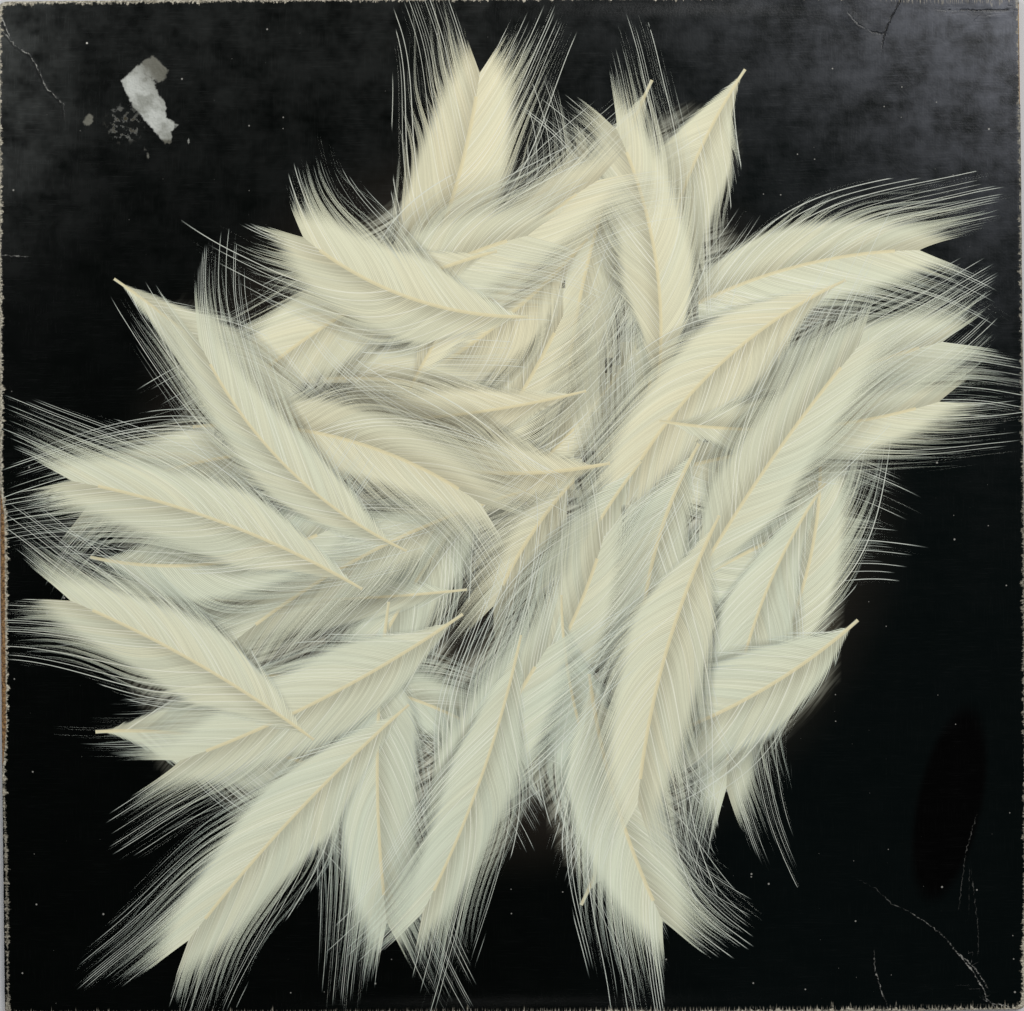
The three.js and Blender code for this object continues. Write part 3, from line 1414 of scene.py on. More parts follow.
@dataclass(frozen=True)
class PrintedFinish(Finish):
    """Black ink and plumes on coated paper, rubbed through at the folds and torn in one place."""

    half_width: float
    half_height: float
    drift: Drift
    name: ClassVar[str] = "printed_front"
    specular: ClassVar[float] = 0.18

    def dress(self, graph: Graph) -> Surface:
        """Builds the print and its wear, with painted sheen toward the top and painted shade along the
        folds.

        Args:
            graph: The material's graph.

        Returns:
            The plain print, with the deeper heaps of plumes and the worn stretches as its others.
        """
        x, y, flat = graph.plan()
        clouds = graph.noise(flat, 0.07, detail=3.0, rough=0.74)
        wipes = graph.noise(graph.stretched(flat, 0.09, 0.42), detail=1.0)
        marks = self.marks(graph, flat)
        specks = self.specks(graph, flat, 0.45)
        specks = specks.highest((CHIP_RADIUS - graph.apart(x, y, CHIP)).ramp(0.0, 0.3))
        # Painted sheen: the rub haze is weighted by place, stronger toward the top, the top-right corner
        # and the spine's upper end, where the lamps' sheen falls. Its cloudy pattern is rub haze; its
        # spread is painted sheen.
        high = y.ramp(-60.0, 170.0)
        broad = y.ramp(-120.0, 170.0)
        right = (x + y * 0.6).ramp(40.0, 230.0)
        haze = clouds.ramp(0.20, 0.80) * 1.25 + wipes * 0.28 + marks * 0.45
        spine_sheen = (x + self.half_width).ramp(34.0, 4.0) * y.ramp(60.0, 130.0) * 0.036
        mouth_corner = (x + y).ramp(265.0, 312.0).mixed(0.080, 0.145)
        mouth_sheen = right.power(4.0) * broad.power(3.2) * mouth_corner
        rub_haze_and_sheen = haze * (high.power(4.0) * 0.019 + mouth_sheen + spine_sheen) + marks * 0.002
        # The painted sheen turns bluer toward the right.
        rub_haze_and_sheen_colour = graph.mix(right, srgb(200, 206, 202), srgb(196, 201, 218))
        gloss = clouds * 0.10 + wipes * 0.06 + marks * 0.06 + 0.18
        grain = graph.noise(flat, 1.5) * 0.012

        def under_haze_and_sheen(layers: int, copy: int) -> Term:
            """Builds the printed plumes under the haze with its painted sheen, and the dust.

            Args:
                layers: How many plumes lie over one another.
                copy: A different number for each picture.

            Returns:
                The colour.
            """
            colour = self.picture(graph, self.ground(graph, x, y), layers, copy)
            colour = graph.mix(rub_haze_and_sheen, colour, rub_haze_and_sheen_colour)
            return graph.mix(specks, colour, srgb(206, 204, 196))

        first, *deeper = (
            Surface(under_haze_and_sheen(layers, copy), gloss, grain) for copy, layers in enumerate(self.drift.depths)
        )
        depth = graph.number("plume_depth")
        others = [
            (depth.above(less + 0.5), surface) for less, surface in zip(self.drift.depths, deeper)
        ]

        crack, groove, fold_shade = self.cracks(graph, flat)
        bare, board = self.bare_edges(graph, x, y)
        torn, torn_tone = self.torn(graph, x, y, flat)
        fibre = self.fibre(graph, flat)
        paper = graph.mix(fibre.ramp(0.35, 0.7), srgb(138, 132, 116), srgb(210, 204, 186))
        card = graph.mix(fibre.ramp(0.35, 0.65), srgb(84, 60, 38), srgb(158, 124, 84))
        # Painted fold shade: near-black along the folds.
        colour = graph.mix(fold_shade * 0.8, under_haze_and_sheen(self.drift.edge_depth, copy=9), srgb(3, 4, 5))
        colour = graph.mix(crack * 0.8, colour, graph.mix(0.5, paper, srgb(190, 194, 194)))
        colour = graph.mix(torn, colour, torn_tone)
        colour = graph.mix(bare, colour, graph.mix(board, paper, card))
        roughness = gloss + (0.88 - gloss) * crack.highest(torn).highest(bare)
        _, _, tear = graph.split(graph.attribute("side_creases"))
        height = grain + grain * (0.0 - tear).ramp(-0.3, 1.0) * 10.0 - groove * 0.06
        others.append((graph.number("worn_zone").above(0.5), Surface(colour, roughness, height)))
        return replace(first, others=tuple(others))

    def ground(self, graph: Graph, x: Term, y: Term) -> Term:
        """Builds what the plumes are printed over.

        Args:
            graph: The material's graph.
            x: Across the sheet, in millimetres.
            y: Up the sheet.

        Returns:
            Black, blacker in one patch, with plumes too deep to draw where they lie thick.
        """
        middle = (x * x * 0.9 + y * y).power(0.5)
        across = (x - y * BLACKER_LEAN - (BLACKER[0] - BLACKER[1] * BLACKER_LEAN)) / BLACKER_HALF[0]
        up = (y - BLACKER[1]) / BLACKER_HALF[1]
        blacker = (1.0 - (across * across + up * up).power(0.5)).ramp(0.0, 0.24)
        ground = graph.mix(x.ramp(-20.0, 90.0), srgb(1, 3, 2), srgb(3, 8, 8))
        ground = graph.dim(ground, blacker)
        ground = graph.mix(1.0 - middle.ramp(85.0, 120.0), ground, srgb(36, 32, 27))
        flow = x * 0.82 + y * 0.56
        over = y * 0.82 - x * 0.56 + graph.math("SINE", flow * 0.07) * 4.0
        streaks = graph.noise(graph.join(flow * 0.06, over * 1.1), detail=2.0)
        buried = graph.mix(streaks.ramp(0.34, 0.64), srgb(92, 88, 74), srgb(210, 210, 190))
        return graph.mix(graph.number("plume_heap"), ground, buried)

    def picture(self, graph: Graph, ground: Term, layers: int, copy: int) -> Term:
        """The printed plumes over the ground.

        Args:
            graph: The material's graph.
            ground: The colour under the plumes.
            layers: How many plumes lie over one another.
            copy: A different number for each picture, so that the renderer keeps their nodes
                apart and works out only the one that it shows.

        Returns:
            The printed colour.
        """
        colour = ground
        apart = 1 + copy * COPY_STEP
        for layer in reversed(range(layers)):
            colour = graph.group(
                self.effects.plume,
                Frame=graph.stretched(graph.attribute(f"plume_frame_{layer}"), apart, apart),
                Style=graph.attribute(f"plume_style_{layer}"),
                Under=colour,
            )["Colour"]
        return colour

    def cracks(self, graph: Graph, place: Term) -> tuple[Term, Term, Term]:
        """Draws the creases.

        Args:
            graph: The material's graph.
            place: Where flat noise is read.

        Returns:
            The cracked ink, the groove along it, and painted shade: a dark line along uncracked folds
            and beside cracked ones.
        """
        wander = (graph.noise(place, 0.8, detail=2.0) - 0.5) * 1.0
        broken = graph.noise(place, 0.55, detail=3.0, rough=0.7)
        found: list[tuple[Term, Term, Term]] = []
        for name in ("creases", "side_creases"):
            distance, strength, _ = graph.split(graph.attribute(name))
            apart = (distance + wander).abs()
            width = broken.ramp(0.36, 0.80) * 0.26 * strength
            line = (width - apart).ramp(-0.16, 0.14) * broken.ramp(0.32, 0.66) * strength.highest(0.0)
            groove = (0.45 - apart).ramp(0.0, 0.45) * strength.abs()
            # Painted shade: a dark line along uncracked folds, and a dark flank beside cracked ones, for
            # the shade that a fold casts.
            fold_shade = (0.50 - apart).ramp(-0.05, 0.40) * (0.0 - strength).highest(0.0)
            beside_shade = (0.35 - (distance + wander + 0.5).abs()).ramp(-0.1, 0.3) * strength.highest(0.0)
            found.append((line, groove, fold_shade.highest(beside_shade * 0.6)))
        (line, groove, fold_shade), (side_line, side_groove, side_fold_shade) = found
        return line.highest(side_line), groove.highest(side_groove), fold_shade.highest(side_fold_shade)

    def torn(self, graph: Graph, x: Term, y: Term, flat: Term) -> tuple[Term, Term]:
        """Draws where the print is torn off.

        Args:
            graph: The material's graph.
            x: Across the sheet, in millimetres.
            y: Up the sheet.
            flat: Where flat noise is read.

        Returns:
            Where the print is off, and the colour there.
        """
        _, _, distance = graph.split(graph.attribute("side_creases"))
        ragged = (graph.noise(flat, 0.7, detail=3.0, rough=0.6) - 0.5) * 1.3
        torn = (0.0 - distance - ragged).ramp(-0.2, 0.45)
        cloud = graph.noise(graph.join(x + y * 0.4, y - x * 0.2), 0.16, detail=4.0, rough=0.6)
        tone = graph.mix(cloud.ramp(0.26, 0.66), srgb(138, 140, 132), srgb(192, 195, 189))
        hook = (x * 0.8 + y * 0.6 + (cloud - 0.5) * 16.0).ramp(-12.5, -6.0)
        far_patch = (-124.0 - x).ramp(-2.0, 0.0)
        low_patches = (113.0 - y).ramp(-1.0, 0.5) * (-104.5 - x).ramp(-8.0, -2.0)
        stained = hook.highest(far_patch.highest(low_patches))
        tone = graph.mix(stained * 0.85, tone, srgb(84, 82, 70))
        near = 1.0 - graph.apart(x, y, FLECKED).ramp(3.0, 7.0)
        flecks = graph.noise(flat, 0.6, detail=3.0, rough=0.6).ramp(0.53, 0.66) * near
        tone = graph.mix(flecks * (1.0 - torn), tone, srgb(68, 63, 48))
        return torn.highest(flecks * 0.7), tone

    def bare_edges(self, graph: Graph, x: Term, y: Term) -> tuple[Term, Term]:
        """Draws the wear along the folds.

        Args:
            graph: The material's graph.
            x: Across the sheet, in millimetres.
            y: Up the sheet.

        Returns:
            Where the folds are rubbed bare, and where they are through to the card.
        """
        rim, foot, _ = graph.split(graph.attribute("folds"))
        from_side = self.half_width - x.abs()
        from_end = self.half_height - y.abs()
        end = from_side.above(from_end)
        side = 1.0 - end
        left = 1.0 - x.above(0.0)
        top = end * y.above(0.0)
        spine = left * side
        mouth = side - spine
        along = graph.join(x * end + y * side, end * 50.0 - left * 20.0 + top * 9.0)
        slow = graph.noise(graph.stretched(along, 0.045, 1.0), detail=2.0, rough=0.7)
        quick = graph.noise(graph.stretched(along, 0.5, 1.0), detail=3.0, rough=0.6)
        flecks = graph.noise(graph.join(x, y), 1.5, detail=2.0, rough=0.65)
        corner = 1.0 - (from_side + from_end).ramp(1.0, 7.0)
        spine_gap = spine * y.ramp(8.0, -4.0) * y.ramp(-84.0, -66.0)
        mouth_wear = mouth * y.ramp(-112.0, -148.0).mixed(0.30, 1.05)
        fold_wear = end * 0.22 + top * 0.33 + spine * y.ramp(-90.0, -30.0).mixed(0.22, 0.72)
        inset = spine * y.ramp(-60.0, -120.0) * 0.9
        hatched = top * x.ramp(90.0, 130.0) * 3.0
        worn = quick.ramp(0.34, 0.80) * slow.ramp(0.25, 0.75).mixed(0.4, 1.7)
        width = worn + mouth_wear + fold_wear + corner * 1.1 + spine_gap * 1.1 + (flecks - 0.55) * 1.5
        spine_foot = spine * y.ramp(-60.0, -110.0)
        faint = 1.0 - mouth * y.ramp(-145.0, -110.0) * 0.5 - spine_foot * 0.4
        strong = flecks.ramp(0.3, 0.6).mixed(0.5, 1.0) * faint
        rubbed = (width - (rim - inset).abs()).ramp(-0.15, 0.40) * strong
        lengths = quick.ramp(0.45, 0.85).power(2.0) * slow.mixed(-0.5, 6.5) + corner * 3.0
        lengths = lengths + (end - top) * 1.9 + hatched
        fine = graph.noise(graph.join(x * 2.0, y * 0.20 + 40.0), detail=1.0)
        streaks = (lengths * end.mixed(0.35, 1.0) - rim).ramp(0.0, 1.5) * fine.ramp(0.50, 0.68) * 0.7
        below = (quick.ramp(0.50, 0.80) * 0.7 + corner - foot).ramp(-0.1, 0.25)
        through = (quick.ramp(0.45, 0.8) * 0.3 + corner * 0.15 + spine_gap * 1.3 - rim).ramp(-0.1, 0.3)
        return rubbed.highest(streaks).highest(below), through


@dataclass
class FrontWrap:
    """The printed sheet: the front, folded round all four edges, turned in on the back and inside.

    The reaches, which say how far wear is drawn from creases, tears and edges, are in millimetres.
    """

    drape: Drape
    bottom: float
    turn_in: float = 14 * MM
    mouth_turn_in: float = 12 * MM
    mouth_turn_in_half: float = 140.5 * MM
    thickness: float = 0.2 * MM
    card_and_sheets: float = 1.1 * MM
    fold_radius: float = 0.55 * MM
    fine_band: float = 56 * MM
    coarse_cells: int = 42
    fine_cells: int = 50
    arc_steps: int = 3
    wall_steps: int = 4
    crack_reach: float = 2.2
    tear_reach: float = 9.0
    edge_reach: float = 8.0
    rough_reach: float = 3.0
    roughness: float = 0.10 * MM
    no_crease: float = 99.0
    fold_line: float = 0.3
    print_depth: float = 0.6 * MM

    def build(self) -> bpy.types.Object:
        """Models the sheet.

        Returns:
            The sheet.
        """
        piece = self.panel()
        with editing(piece):
            self.fold_closed_edges(piece)
            self.fold_mouth(piece)
            bpy.ops.mesh.select_all(action="SELECT")
            bpy.ops.mesh.remove_doubles(threshold=0.002 * MM)
        apply_modifier(piece, "SOLIDIFY", thickness=self.thickness, offset=-1.0, use_even_offset=False)
        self.roughen_edges(piece)
        shade(piece, 40)
        return piece

    def panel(self) -> bpy.types.Object:
        """Models the front without its folds.

        Returns:
            A grid, finer near its edges and rounded at its corners.
        """
        inner_x = self.drape.half_width - self.fold_radius
        inner_y = self.drape.half_height - self.fold_radius
        coarse, fine = self.coarse_cells, self.fine_cells
        across, up = (
            mirrored((0.0, coarse), (reach - self.fine_band, fine), (reach, 0))
            for reach in (inner_x, inner_y)
        )
        piece, column, row = add_grid("front_wrap_sheet", len(across), len(up))
        x, y = self.drape.rounded(across[column], up[row])
        z = self.drape.height(x, y)
        for crease in CREASES + SIDE_CREASES:
            z = z + MM * crease.relief(x / MM, y / MM)
        set_points(piece, np.stack([x, y, z], 1))
        return piece

    def outward(self, point: Vector) -> Vector:
        """Finds the way in plan out through the nearest edge.

        Args:
            point: A point of the sheet.

        Returns:
            The direction.
        """
        over_x = abs(point.x) - (self.drape.half_width - self.drape.corner_radius)
        over_y = abs(point.y) - (self.drape.half_height - self.drape.corner_radius)
        sign_x, sign_y = math.copysign(1, point.x), math.copysign(1, point.y)
        if over_x > 0 and over_y > 0:
            return Vector((over_x * sign_x, over_y * sign_y, 0)).normalized()
        if self.drape.half_width - abs(point.x) < self.drape.half_height - abs(point.y):
            return Vector((sign_x, 0, 0))
        return Vector((0, sign_y, 0))

    def arc(self, piece: bpy.types.Object, down: bool) -> None:
        """Extrudes the selected rim round a quarter of a fold.

        Args:
            piece: The sheet, in edit mode.
            down: Whether it turns out and down, or on down and in.
        """
        for step in range(self.arc_steps):
            before, after = (math.pi / 2 * (step + add) / self.arc_steps for add in (0, 1))
            rise = math.sin(after) - math.sin(before)
            run = math.cos(before) - math.cos(after)
            out, fall = (rise, run) if down else (-run, rise)
            extrude_rim(
                piece,
                lambda at, out=out, fall=fall: at
                + self.outward(at) * out * self.fold_radius
                - Vector((0, 0, fall * self.fold_radius)),
            )

    def is_mouth(self, edge: bmesh.types.BMEdge) -> bool:
        """Whether an edge lies on the straight of the open mouth.

        Args:
            edge: The edge.

        Returns:
            Whether it does.
        """
        straight = self.drape.half_height - self.drape.corner_radius + SLACK
        at_mouth = all(v.co.x > self.drape.half_width - self.fold_radius - SLACK for v in edge.verts)
        return at_mouth and all(abs(v.co.y) <= straight for v in edge.verts)

    def fold_closed_edges(self, piece: bpy.types.Object) -> None:
        """Folds the sheet down the spine and the two glued edges, and in on the back.

        Args:
            piece: The sheet, in edit mode.
        """
        select_edges(piece, lambda edge: edge.is_boundary and not self.is_mouth(edge))
        self.arc(piece, down=True)
        foot = self.bottom + self.fold_radius
        for step in range(self.wall_steps):
            share = 1 / (self.wall_steps - step)
            extrude_rim(piece, lambda at, share=share: at + Vector((0, 0, (foot - at.z) * share)))
        self.arc(piece, down=False)
        inner_x = self.drape.half_width - self.turn_in
        inner_y = self.drape.half_height - self.turn_in
        mouth = self.drape.half_width - self.fold_radius - SLACK
        for share in (0.5, 1.0):

            def place(at: Vector, share: float = share) -> Vector:
                """Moves a point in toward the turn-in's edge."""
                x = at.x if at.x > mouth else max(-inner_x, min(inner_x, at.x))
                return at.lerp(Vector((x, max(-inner_y, min(inner_y, at.y)), at.z)), share)

            extrude_rim(piece, place)

    def fold_mouth(self, piece: bpy.types.Object) -> None:
        """Folds the sheet round the front card's end and into the pocket.

        Args:
            piece: The sheet, in edit mode.
        """
        top_rim = self.drape.half_width - self.fold_radius - SLACK
        select_edges(
            piece,
            lambda edge: edge.is_boundary
            and self.is_mouth(edge)
            and min(v.co.x for v in edge.verts) > top_rim
            and min(v.co.z for v in edge.verts) > self.drape.edge_level - 0.5 * MM,
        )
        self.arc(piece, down=True)
        self.arc(piece, down=False)
        bpy.ops.mesh.select_all(action="DESELECT")
        lower = self.drape.half_width - self.fold_radius
        select_edges(
            piece,
            lambda edge: edge.is_boundary
            and all(abs(v.co.x - lower) < 2 * SLACK for v in edge.verts)
            and all(abs(v.co.y) < self.mouth_turn_in_half for v in edge.verts)
            and all(v.co.z > self.bottom + 1.0 * MM for v in edge.verts),
        )
        for share in (0.25, 0.5, 0.75, 1.0):
            x = lower - share * (self.mouth_turn_in - self.fold_radius)

            def place(at: Vector, x: float = x) -> Vector:
                """Moves a point in under the front card."""
                height = float(self.drape.height(np.array(x), np.array(at.y)))
                return Vector((x, at.y, height - self.card_and_sheets))

            extrude_rim(piece, place)

    def roughen_edges(self, piece: bpy.types.Object) -> None:
        """Leaves the folded edges slightly uneven, as handling does.

        Args:
            piece: The sheet.
        """
        points = points_of(piece)
        x, y = points[:, 0] / MM, points[:, 1] / MM
        near = np.clip(1 - (self.drape.half_width / MM - np.abs(x)) / self.rough_reach, 0, 1)
        near_end = np.clip(1 - (self.drape.half_height / MM - np.abs(y)) / self.rough_reach, 0, 1)
        uneven = 0.5 * np.sin(0.9 * y + 0.8 * np.sin(0.23 * y)) + 0.5 * np.sin(2.3 * y + 1.0)
        uneven_end = 0.5 * np.sin(0.8 * x + 0.9 * np.sin(0.19 * x)) + 0.5 * np.sin(2.1 * x + 2.0)
        points[:, 0] -= np.sign(x) * near * (0.5 + 0.5 * uneven) * self.roughness
        points[:, 1] -= np.sign(y) * near_end * (0.5 + 0.5 * uneven_end) * self.roughness
        set_points(piece, points)

    def nearest(
        self, creases: tuple[Crease, ...], x: np.ndarray, y: np.ndarray
    ) -> tuple[np.ndarray, np.ndarray]:
        """Finds the nearest crease to points in plan, in millimetres.

        Args:
            creases: The creases.
            x: First coordinate of each point.
            y: Second coordinate of each point.

        Returns:
            The nearest one's signed distance and its strength.
        """
        distance, strength = np.full(x.shape, self.no_crease), np.zeros(x.shape)
        for crease in creases:
            apart, white = crease.field(x, y)
            closer = np.abs(apart) < np.abs(distance)
            distance = np.where(closer, apart, distance)
            strength = np.where(closer, white, strength)
        return distance, strength

    def mark(self, piece: bpy.types.Object, drift: Drift) -> None:
        """Keeps the print and the wear on the mesh, for the finish to read.

        Args:
            piece: The sheet.
            drift: The printed plumes.
        """
        x, y, z = points_of(piece).T
        fields = [self.nearest(creases, x / MM, y / MM) for creases in (CREASES, SIDE_CREASES)]
        tear = np.min([polygon_field(x / MM, y / MM, outline) for outline in TORN], axis=0)
        depth = np.clip(self.drape.height(x, y) - z, 0, None)
        inward = np.minimum(self.drape.half_width - np.abs(x), self.drape.half_height - np.abs(y))
        rim = (np.clip(inward, 0, None) + depth) / MM - self.fold_line
        foot = (np.clip(inward, 0, None) + np.clip(z - self.bottom, 0, None)) / MM - self.fold_line
        zeros = np.zeros(x.shape)
        keep_vectors(piece, "creases", "POINT", np.stack([*fields[0], zeros], 1))
        keep_vectors(piece, "side_creases", "POINT", np.stack([*fields[1], tear], 1))
        keep_vectors(piece, "folds", "POINT", np.stack([rim, foot, zeros], 1))
        cracked = np.minimum(*(np.abs(distance) for distance, _ in fields)) < self.crack_reach
        zone = cracked | (tear < self.tear_reach) | (rim < self.edge_reach)
        corners, starts, sizes = corners_of(piece)
        worn = np.logical_or.reduceat(zone[corners], starts)
        keep_numbers(piece, "worn_zone", "CORNER", np.repeat(worn, sizes))
        centres = np.empty(len(sizes) * 3)
        piece.data.polygons.foreach_get("center", centres)
        x, y, z = centres.reshape(-1, 3).T
        drift.mark(piece, self.drape.height(x, y) - z < self.print_depth)


# ---- The card, the back sheet, the inner sleeve and the disc


BEND_STEPS = 3


def rolled(
    back: tuple[float, float], front_level: float, radius: float, ends: tuple[float, float], cells: int
) -> tuple[np.ndarray, np.ndarray, np.ndarray]:
    """Rolls a cross-section round the spine: along the back to -X, up, and back along the front.

    Args:
        back: The spine's X and the back's height.
        front_level: The front's height.
        radius: Of the two bends.
        ends: The X of the back's end and of the front's end.
        cells: Steps along each panel.

    Returns:
        X and Z of each line, and 1 for the lines that lie on the front panel.
    """
    spine, back_level = back
    turn = np.linspace(0, math.pi / 2, BEND_STEPS + 1)
    under = np.linspace(ends[0], spine + radius, cells)
    over = np.linspace(spine + radius, ends[1], cells)
    low_x = spine + radius - radius * np.sin(turn[1:])
    low_z = back_level + radius - radius * np.cos(turn[1:])
    x = np.concatenate([under, low_x, low_x[::-1], over])
    high_z = front_level + back_level - low_z[::-1]
    z = np.concatenate([np.full(cells, back_level), low_z, high_z, np.full(cells, front_level)])
    return x, z, np.arange(len(x)) >= cells + 2 * BEND_STEPS


@dataclass
class FoldedCard:
    """The pocket's card: one sheet rolled round the spine, its long edges glued with a flap."""

    drape: Drape
    bottom: float
    inset: float = 0.25 * MM
    bend_radius: float = 0.5 * MM
    flap: float = 1.2 * MM
    cells: int = 110
    rows: int = 40
    edge_band: float = 14 * MM
    edge_rows: int = 14

    def build(self) -> bpy.types.Object:
        """Models the card.

        Returns:
            The card.
        """
        half = self.drape.card / 2
        end = self.drape.half_width - self.inset
        level = self.drape.level - self.drape.paper - self.drape.gap - half
        section_x, section_z, on_front = rolled(
            (half - end, self.bottom + half), level, self.bend_radius, (end, end), self.cells
        )
        reach = self.drape.half_height - self.inset
        band = reach - self.edge_band
        rows = mirrored((0.0, self.rows), (band, self.edge_rows), (reach - half, 1), (reach, 0))
        piece, column, row = add_grid("folded_card", len(section_x), len(rows))
        x, y = section_x[column], rows[row]
        back = ~on_front[column]
        y = np.where(back, np.clip(y, half - reach, reach - half), y)
        fallen = self.drape.height(x, y) - self.drape.level
        rise = np.clip((section_z[column] - self.bottom - half) / (level - self.bottom - half), 0, 1)
        z = section_z[column] + fallen * rise
        for crease in CREASES:
            z = z + MM * crease.relief(x / MM, y / MM) * rise
        x, y = self.drape.rounded(x, y)
        set_points(piece, np.stack([x, y, z], 1))
        with editing(piece):
            bpy.ops.mesh.select_all(action="SELECT")
            bpy.ops.mesh.remove_doubles(threshold=SLACK)
            self.raise_flaps(piece, reach - half)
        apply_modifier(piece, "SOLIDIFY", thickness=self.drape.card, offset=0.0)
        shade(piece, 40)
        return piece

    def raise_flaps(self, piece: bpy.types.Object, edge_y: float) -> None:
        """Turns the back's long edges up and in, to be glued under the front.

        Args:
            piece: The card, in edit mode.
            edge_y: How far out the back's long edges lie.
        """
        low = self.bottom + self.drape.card / 2 + 2 * SLACK
        out = edge_y - self.drape.corner_radius
        straight = self.drape.half_width - self.drape.corner_radius
        select_edges(
            piece,
            lambda edge: edge.is_boundary
            and all(v.co.z < low and abs(v.co.y) > out and abs(v.co.x) < straight for v in edge.verts),
        )
        for share in (0.5, 1.0):

            def place(at: Vector, share: float = share) -> Vector:
                """Moves a point up toward the front card."""
                ceiling = float(self.drape.ceiling(np.array(at.x), np.array(self.drape.half_height)))
                return Vector((at.x, at.y, at.z + (ceiling - self.drape.card / 2 - at.z) * share))

            extrude_rim(piece, place)
        extrude_rim(piece, lambda at: at - Vector((0, math.copysign(self.flap, at.y), 0)))


@dataclass
class InnerSleeve:
    """The thin paper sleeve in the pocket: two leaves with a round window each, glued at their ends."""

    drape: Drape
    low: Vector
    high: Vector
    paper: float = 0.15 * MM
    window: float = 42 * MM
    spread: float = 62 * MM
    corner_cut: float = 11 * MM
    seam_run: float = 1.9 * MM
    bend_radius: float = 0.6 * MM
    edge_band: float = 8 * MM
    most_fall: float = 1.5 * MM
    most_rise: float = 0.1 * MM

    def build(self) -> bpy.types.Object:
        """Models the inner sleeve.

        Returns:
            The inner sleeve.
        """
        half = self.paper / 2
        back = self.low.z + half
        ceiling = self.drape.level - self.drape.paper - self.drape.gap - self.drape.card
        clear = self.drape.gap + self.drape.paper + self.drape.gap
        spread, window = self.spread, self.window
        middle = ((-spread, 6), (-window, 26), (window, 6), (spread, 24))
        panel = lines((self.low.x + self.bend_radius, 30), *middle, (self.high.x, 0))
        turn = np.linspace(0, math.pi / 2, BEND_STEPS + 1)[1:]
        low_x = self.low.x + half + self.bend_radius * (1 - np.sin(turn))
        low_z = back + self.bend_radius * (1 - np.cos(turn))
        front = ceiling - clear - half
        section_x = np.concatenate([panel[::-1], low_x, low_x[::-1], panel])
        back_z, front_z = (np.full(len(panel), level) for level in (back, front))
        section_z = np.concatenate([back_z, low_z, front + back - low_z[::-1], front_z])
        top = self.high.y
        rows = mirrored((0.0, 13), (window, 6), (spread, 24), (top - self.edge_band, 6), (top, 0))
        piece, column, row = add_grid("inner_sleeve_paper", len(section_x), len(rows))
        x, y, z = section_x[column], rows[row], section_z[column]
        rise = (z - back) / (front - back)
        x, y = self.shaped(x, y)
        fallen = np.minimum(self.drape.height(x, y), self.drape.height(x, y * 0)) - self.drape.level
        seam = np.clip((np.abs(y) - top) / (2 * self.seam_run) + 1, 0, 1)
        free = z + np.clip(fallen, -self.most_fall, self.most_rise) * rise
        closed = back + self.paper + self.drape.gap * 0.2
        drop = (np.minimum(closed, free) - free) * seam * np.clip(rise * 3, 0, 1)
        z = np.where(rise > 0, free + drop, free)
        set_points(piece, np.stack([x, y, z], 1))
        with editing(piece):
            mesh = bmesh.from_edit_mesh(piece.data)
            inside = self.window - 0.1 * MM
            for face in mesh.faces:
                middle = face.calc_center_median()
                face.select_set(math.hypot(middle.x, middle.y) < inside)
            bmesh.update_edit_mesh(piece.data)
            bpy.ops.mesh.delete(type="FACE")
        apply_modifier(piece, "SOLIDIFY", thickness=self.paper, offset=0.0)
        shade(piece, 40)
        return piece

    def shaped(self, x: np.ndarray, y: np.ndarray) -> tuple[np.ndarray, np.ndarray]:
        """Makes the square in the middle a round window, and cuts the mouth's corners.

        Args:
            x: First coordinate of each point.
            y: Second coordinate of each point.

        Returns:
            The moved coordinates.
        """
        size = np.maximum(np.abs(x), np.abs(y))
        radius = np.maximum(np.hypot(x, y), 1e-9)
        blend = np.clip((self.spread - size) / (self.spread - self.window), 0, 1)
        target = np.where(size > 0, size / radius, 1.0)
        scale = 1 + (target - 1) * blend
        x, y = x * scale, y * scale
        over = np.abs(y) - (self.high.y - self.corner_cut)
        cut = np.clip(over, 0, self.corner_cut)
        share = np.clip((x - self.spread) / (self.high.x - self.spread), 0, 1)
        return x - cut * share, y


@dataclass(frozen=True)
class CardFinish(Finish):
    """Grey-brown chipboard, layered at its cut edges."""

    name: ClassVar[str] = "chipboard"
    specular: ClassVar[float] = 0.2

    def dress(self, graph: Graph) -> Surface:
        """Builds mottled pulp with flecks and, on the edges, its plies.

        Args:
            graph: The material's graph.

        Returns:
            The card.
        """
        place = graph.place()
        x, y, z = graph.split(place)
        flat = graph.spread(place)
        fibre = self.fibre(graph, flat)
        plies = graph.noise(graph.join(z * 5.5, x * 0.05 + y * 0.05), detail=2.0)
        flecks, luck = graph.specks(flat, 0.8)
        colour = graph.mix(fibre.ramp(0.3, 0.7), srgb(122, 100, 72), srgb(172, 146, 110))
        colour = graph.mix(plies.ramp(0.42, 0.62) * 0.45, colour, srgb(92, 68, 44))
        colour = graph.mix((luck * 0.16 - flecks).ramp(0.0, 0.05) * 0.6, colour, srgb(70, 56, 40))
        return Surface(colour, fibre.mixed(0.8, 0.95), fibre * 0.16 + plies * 0.10)


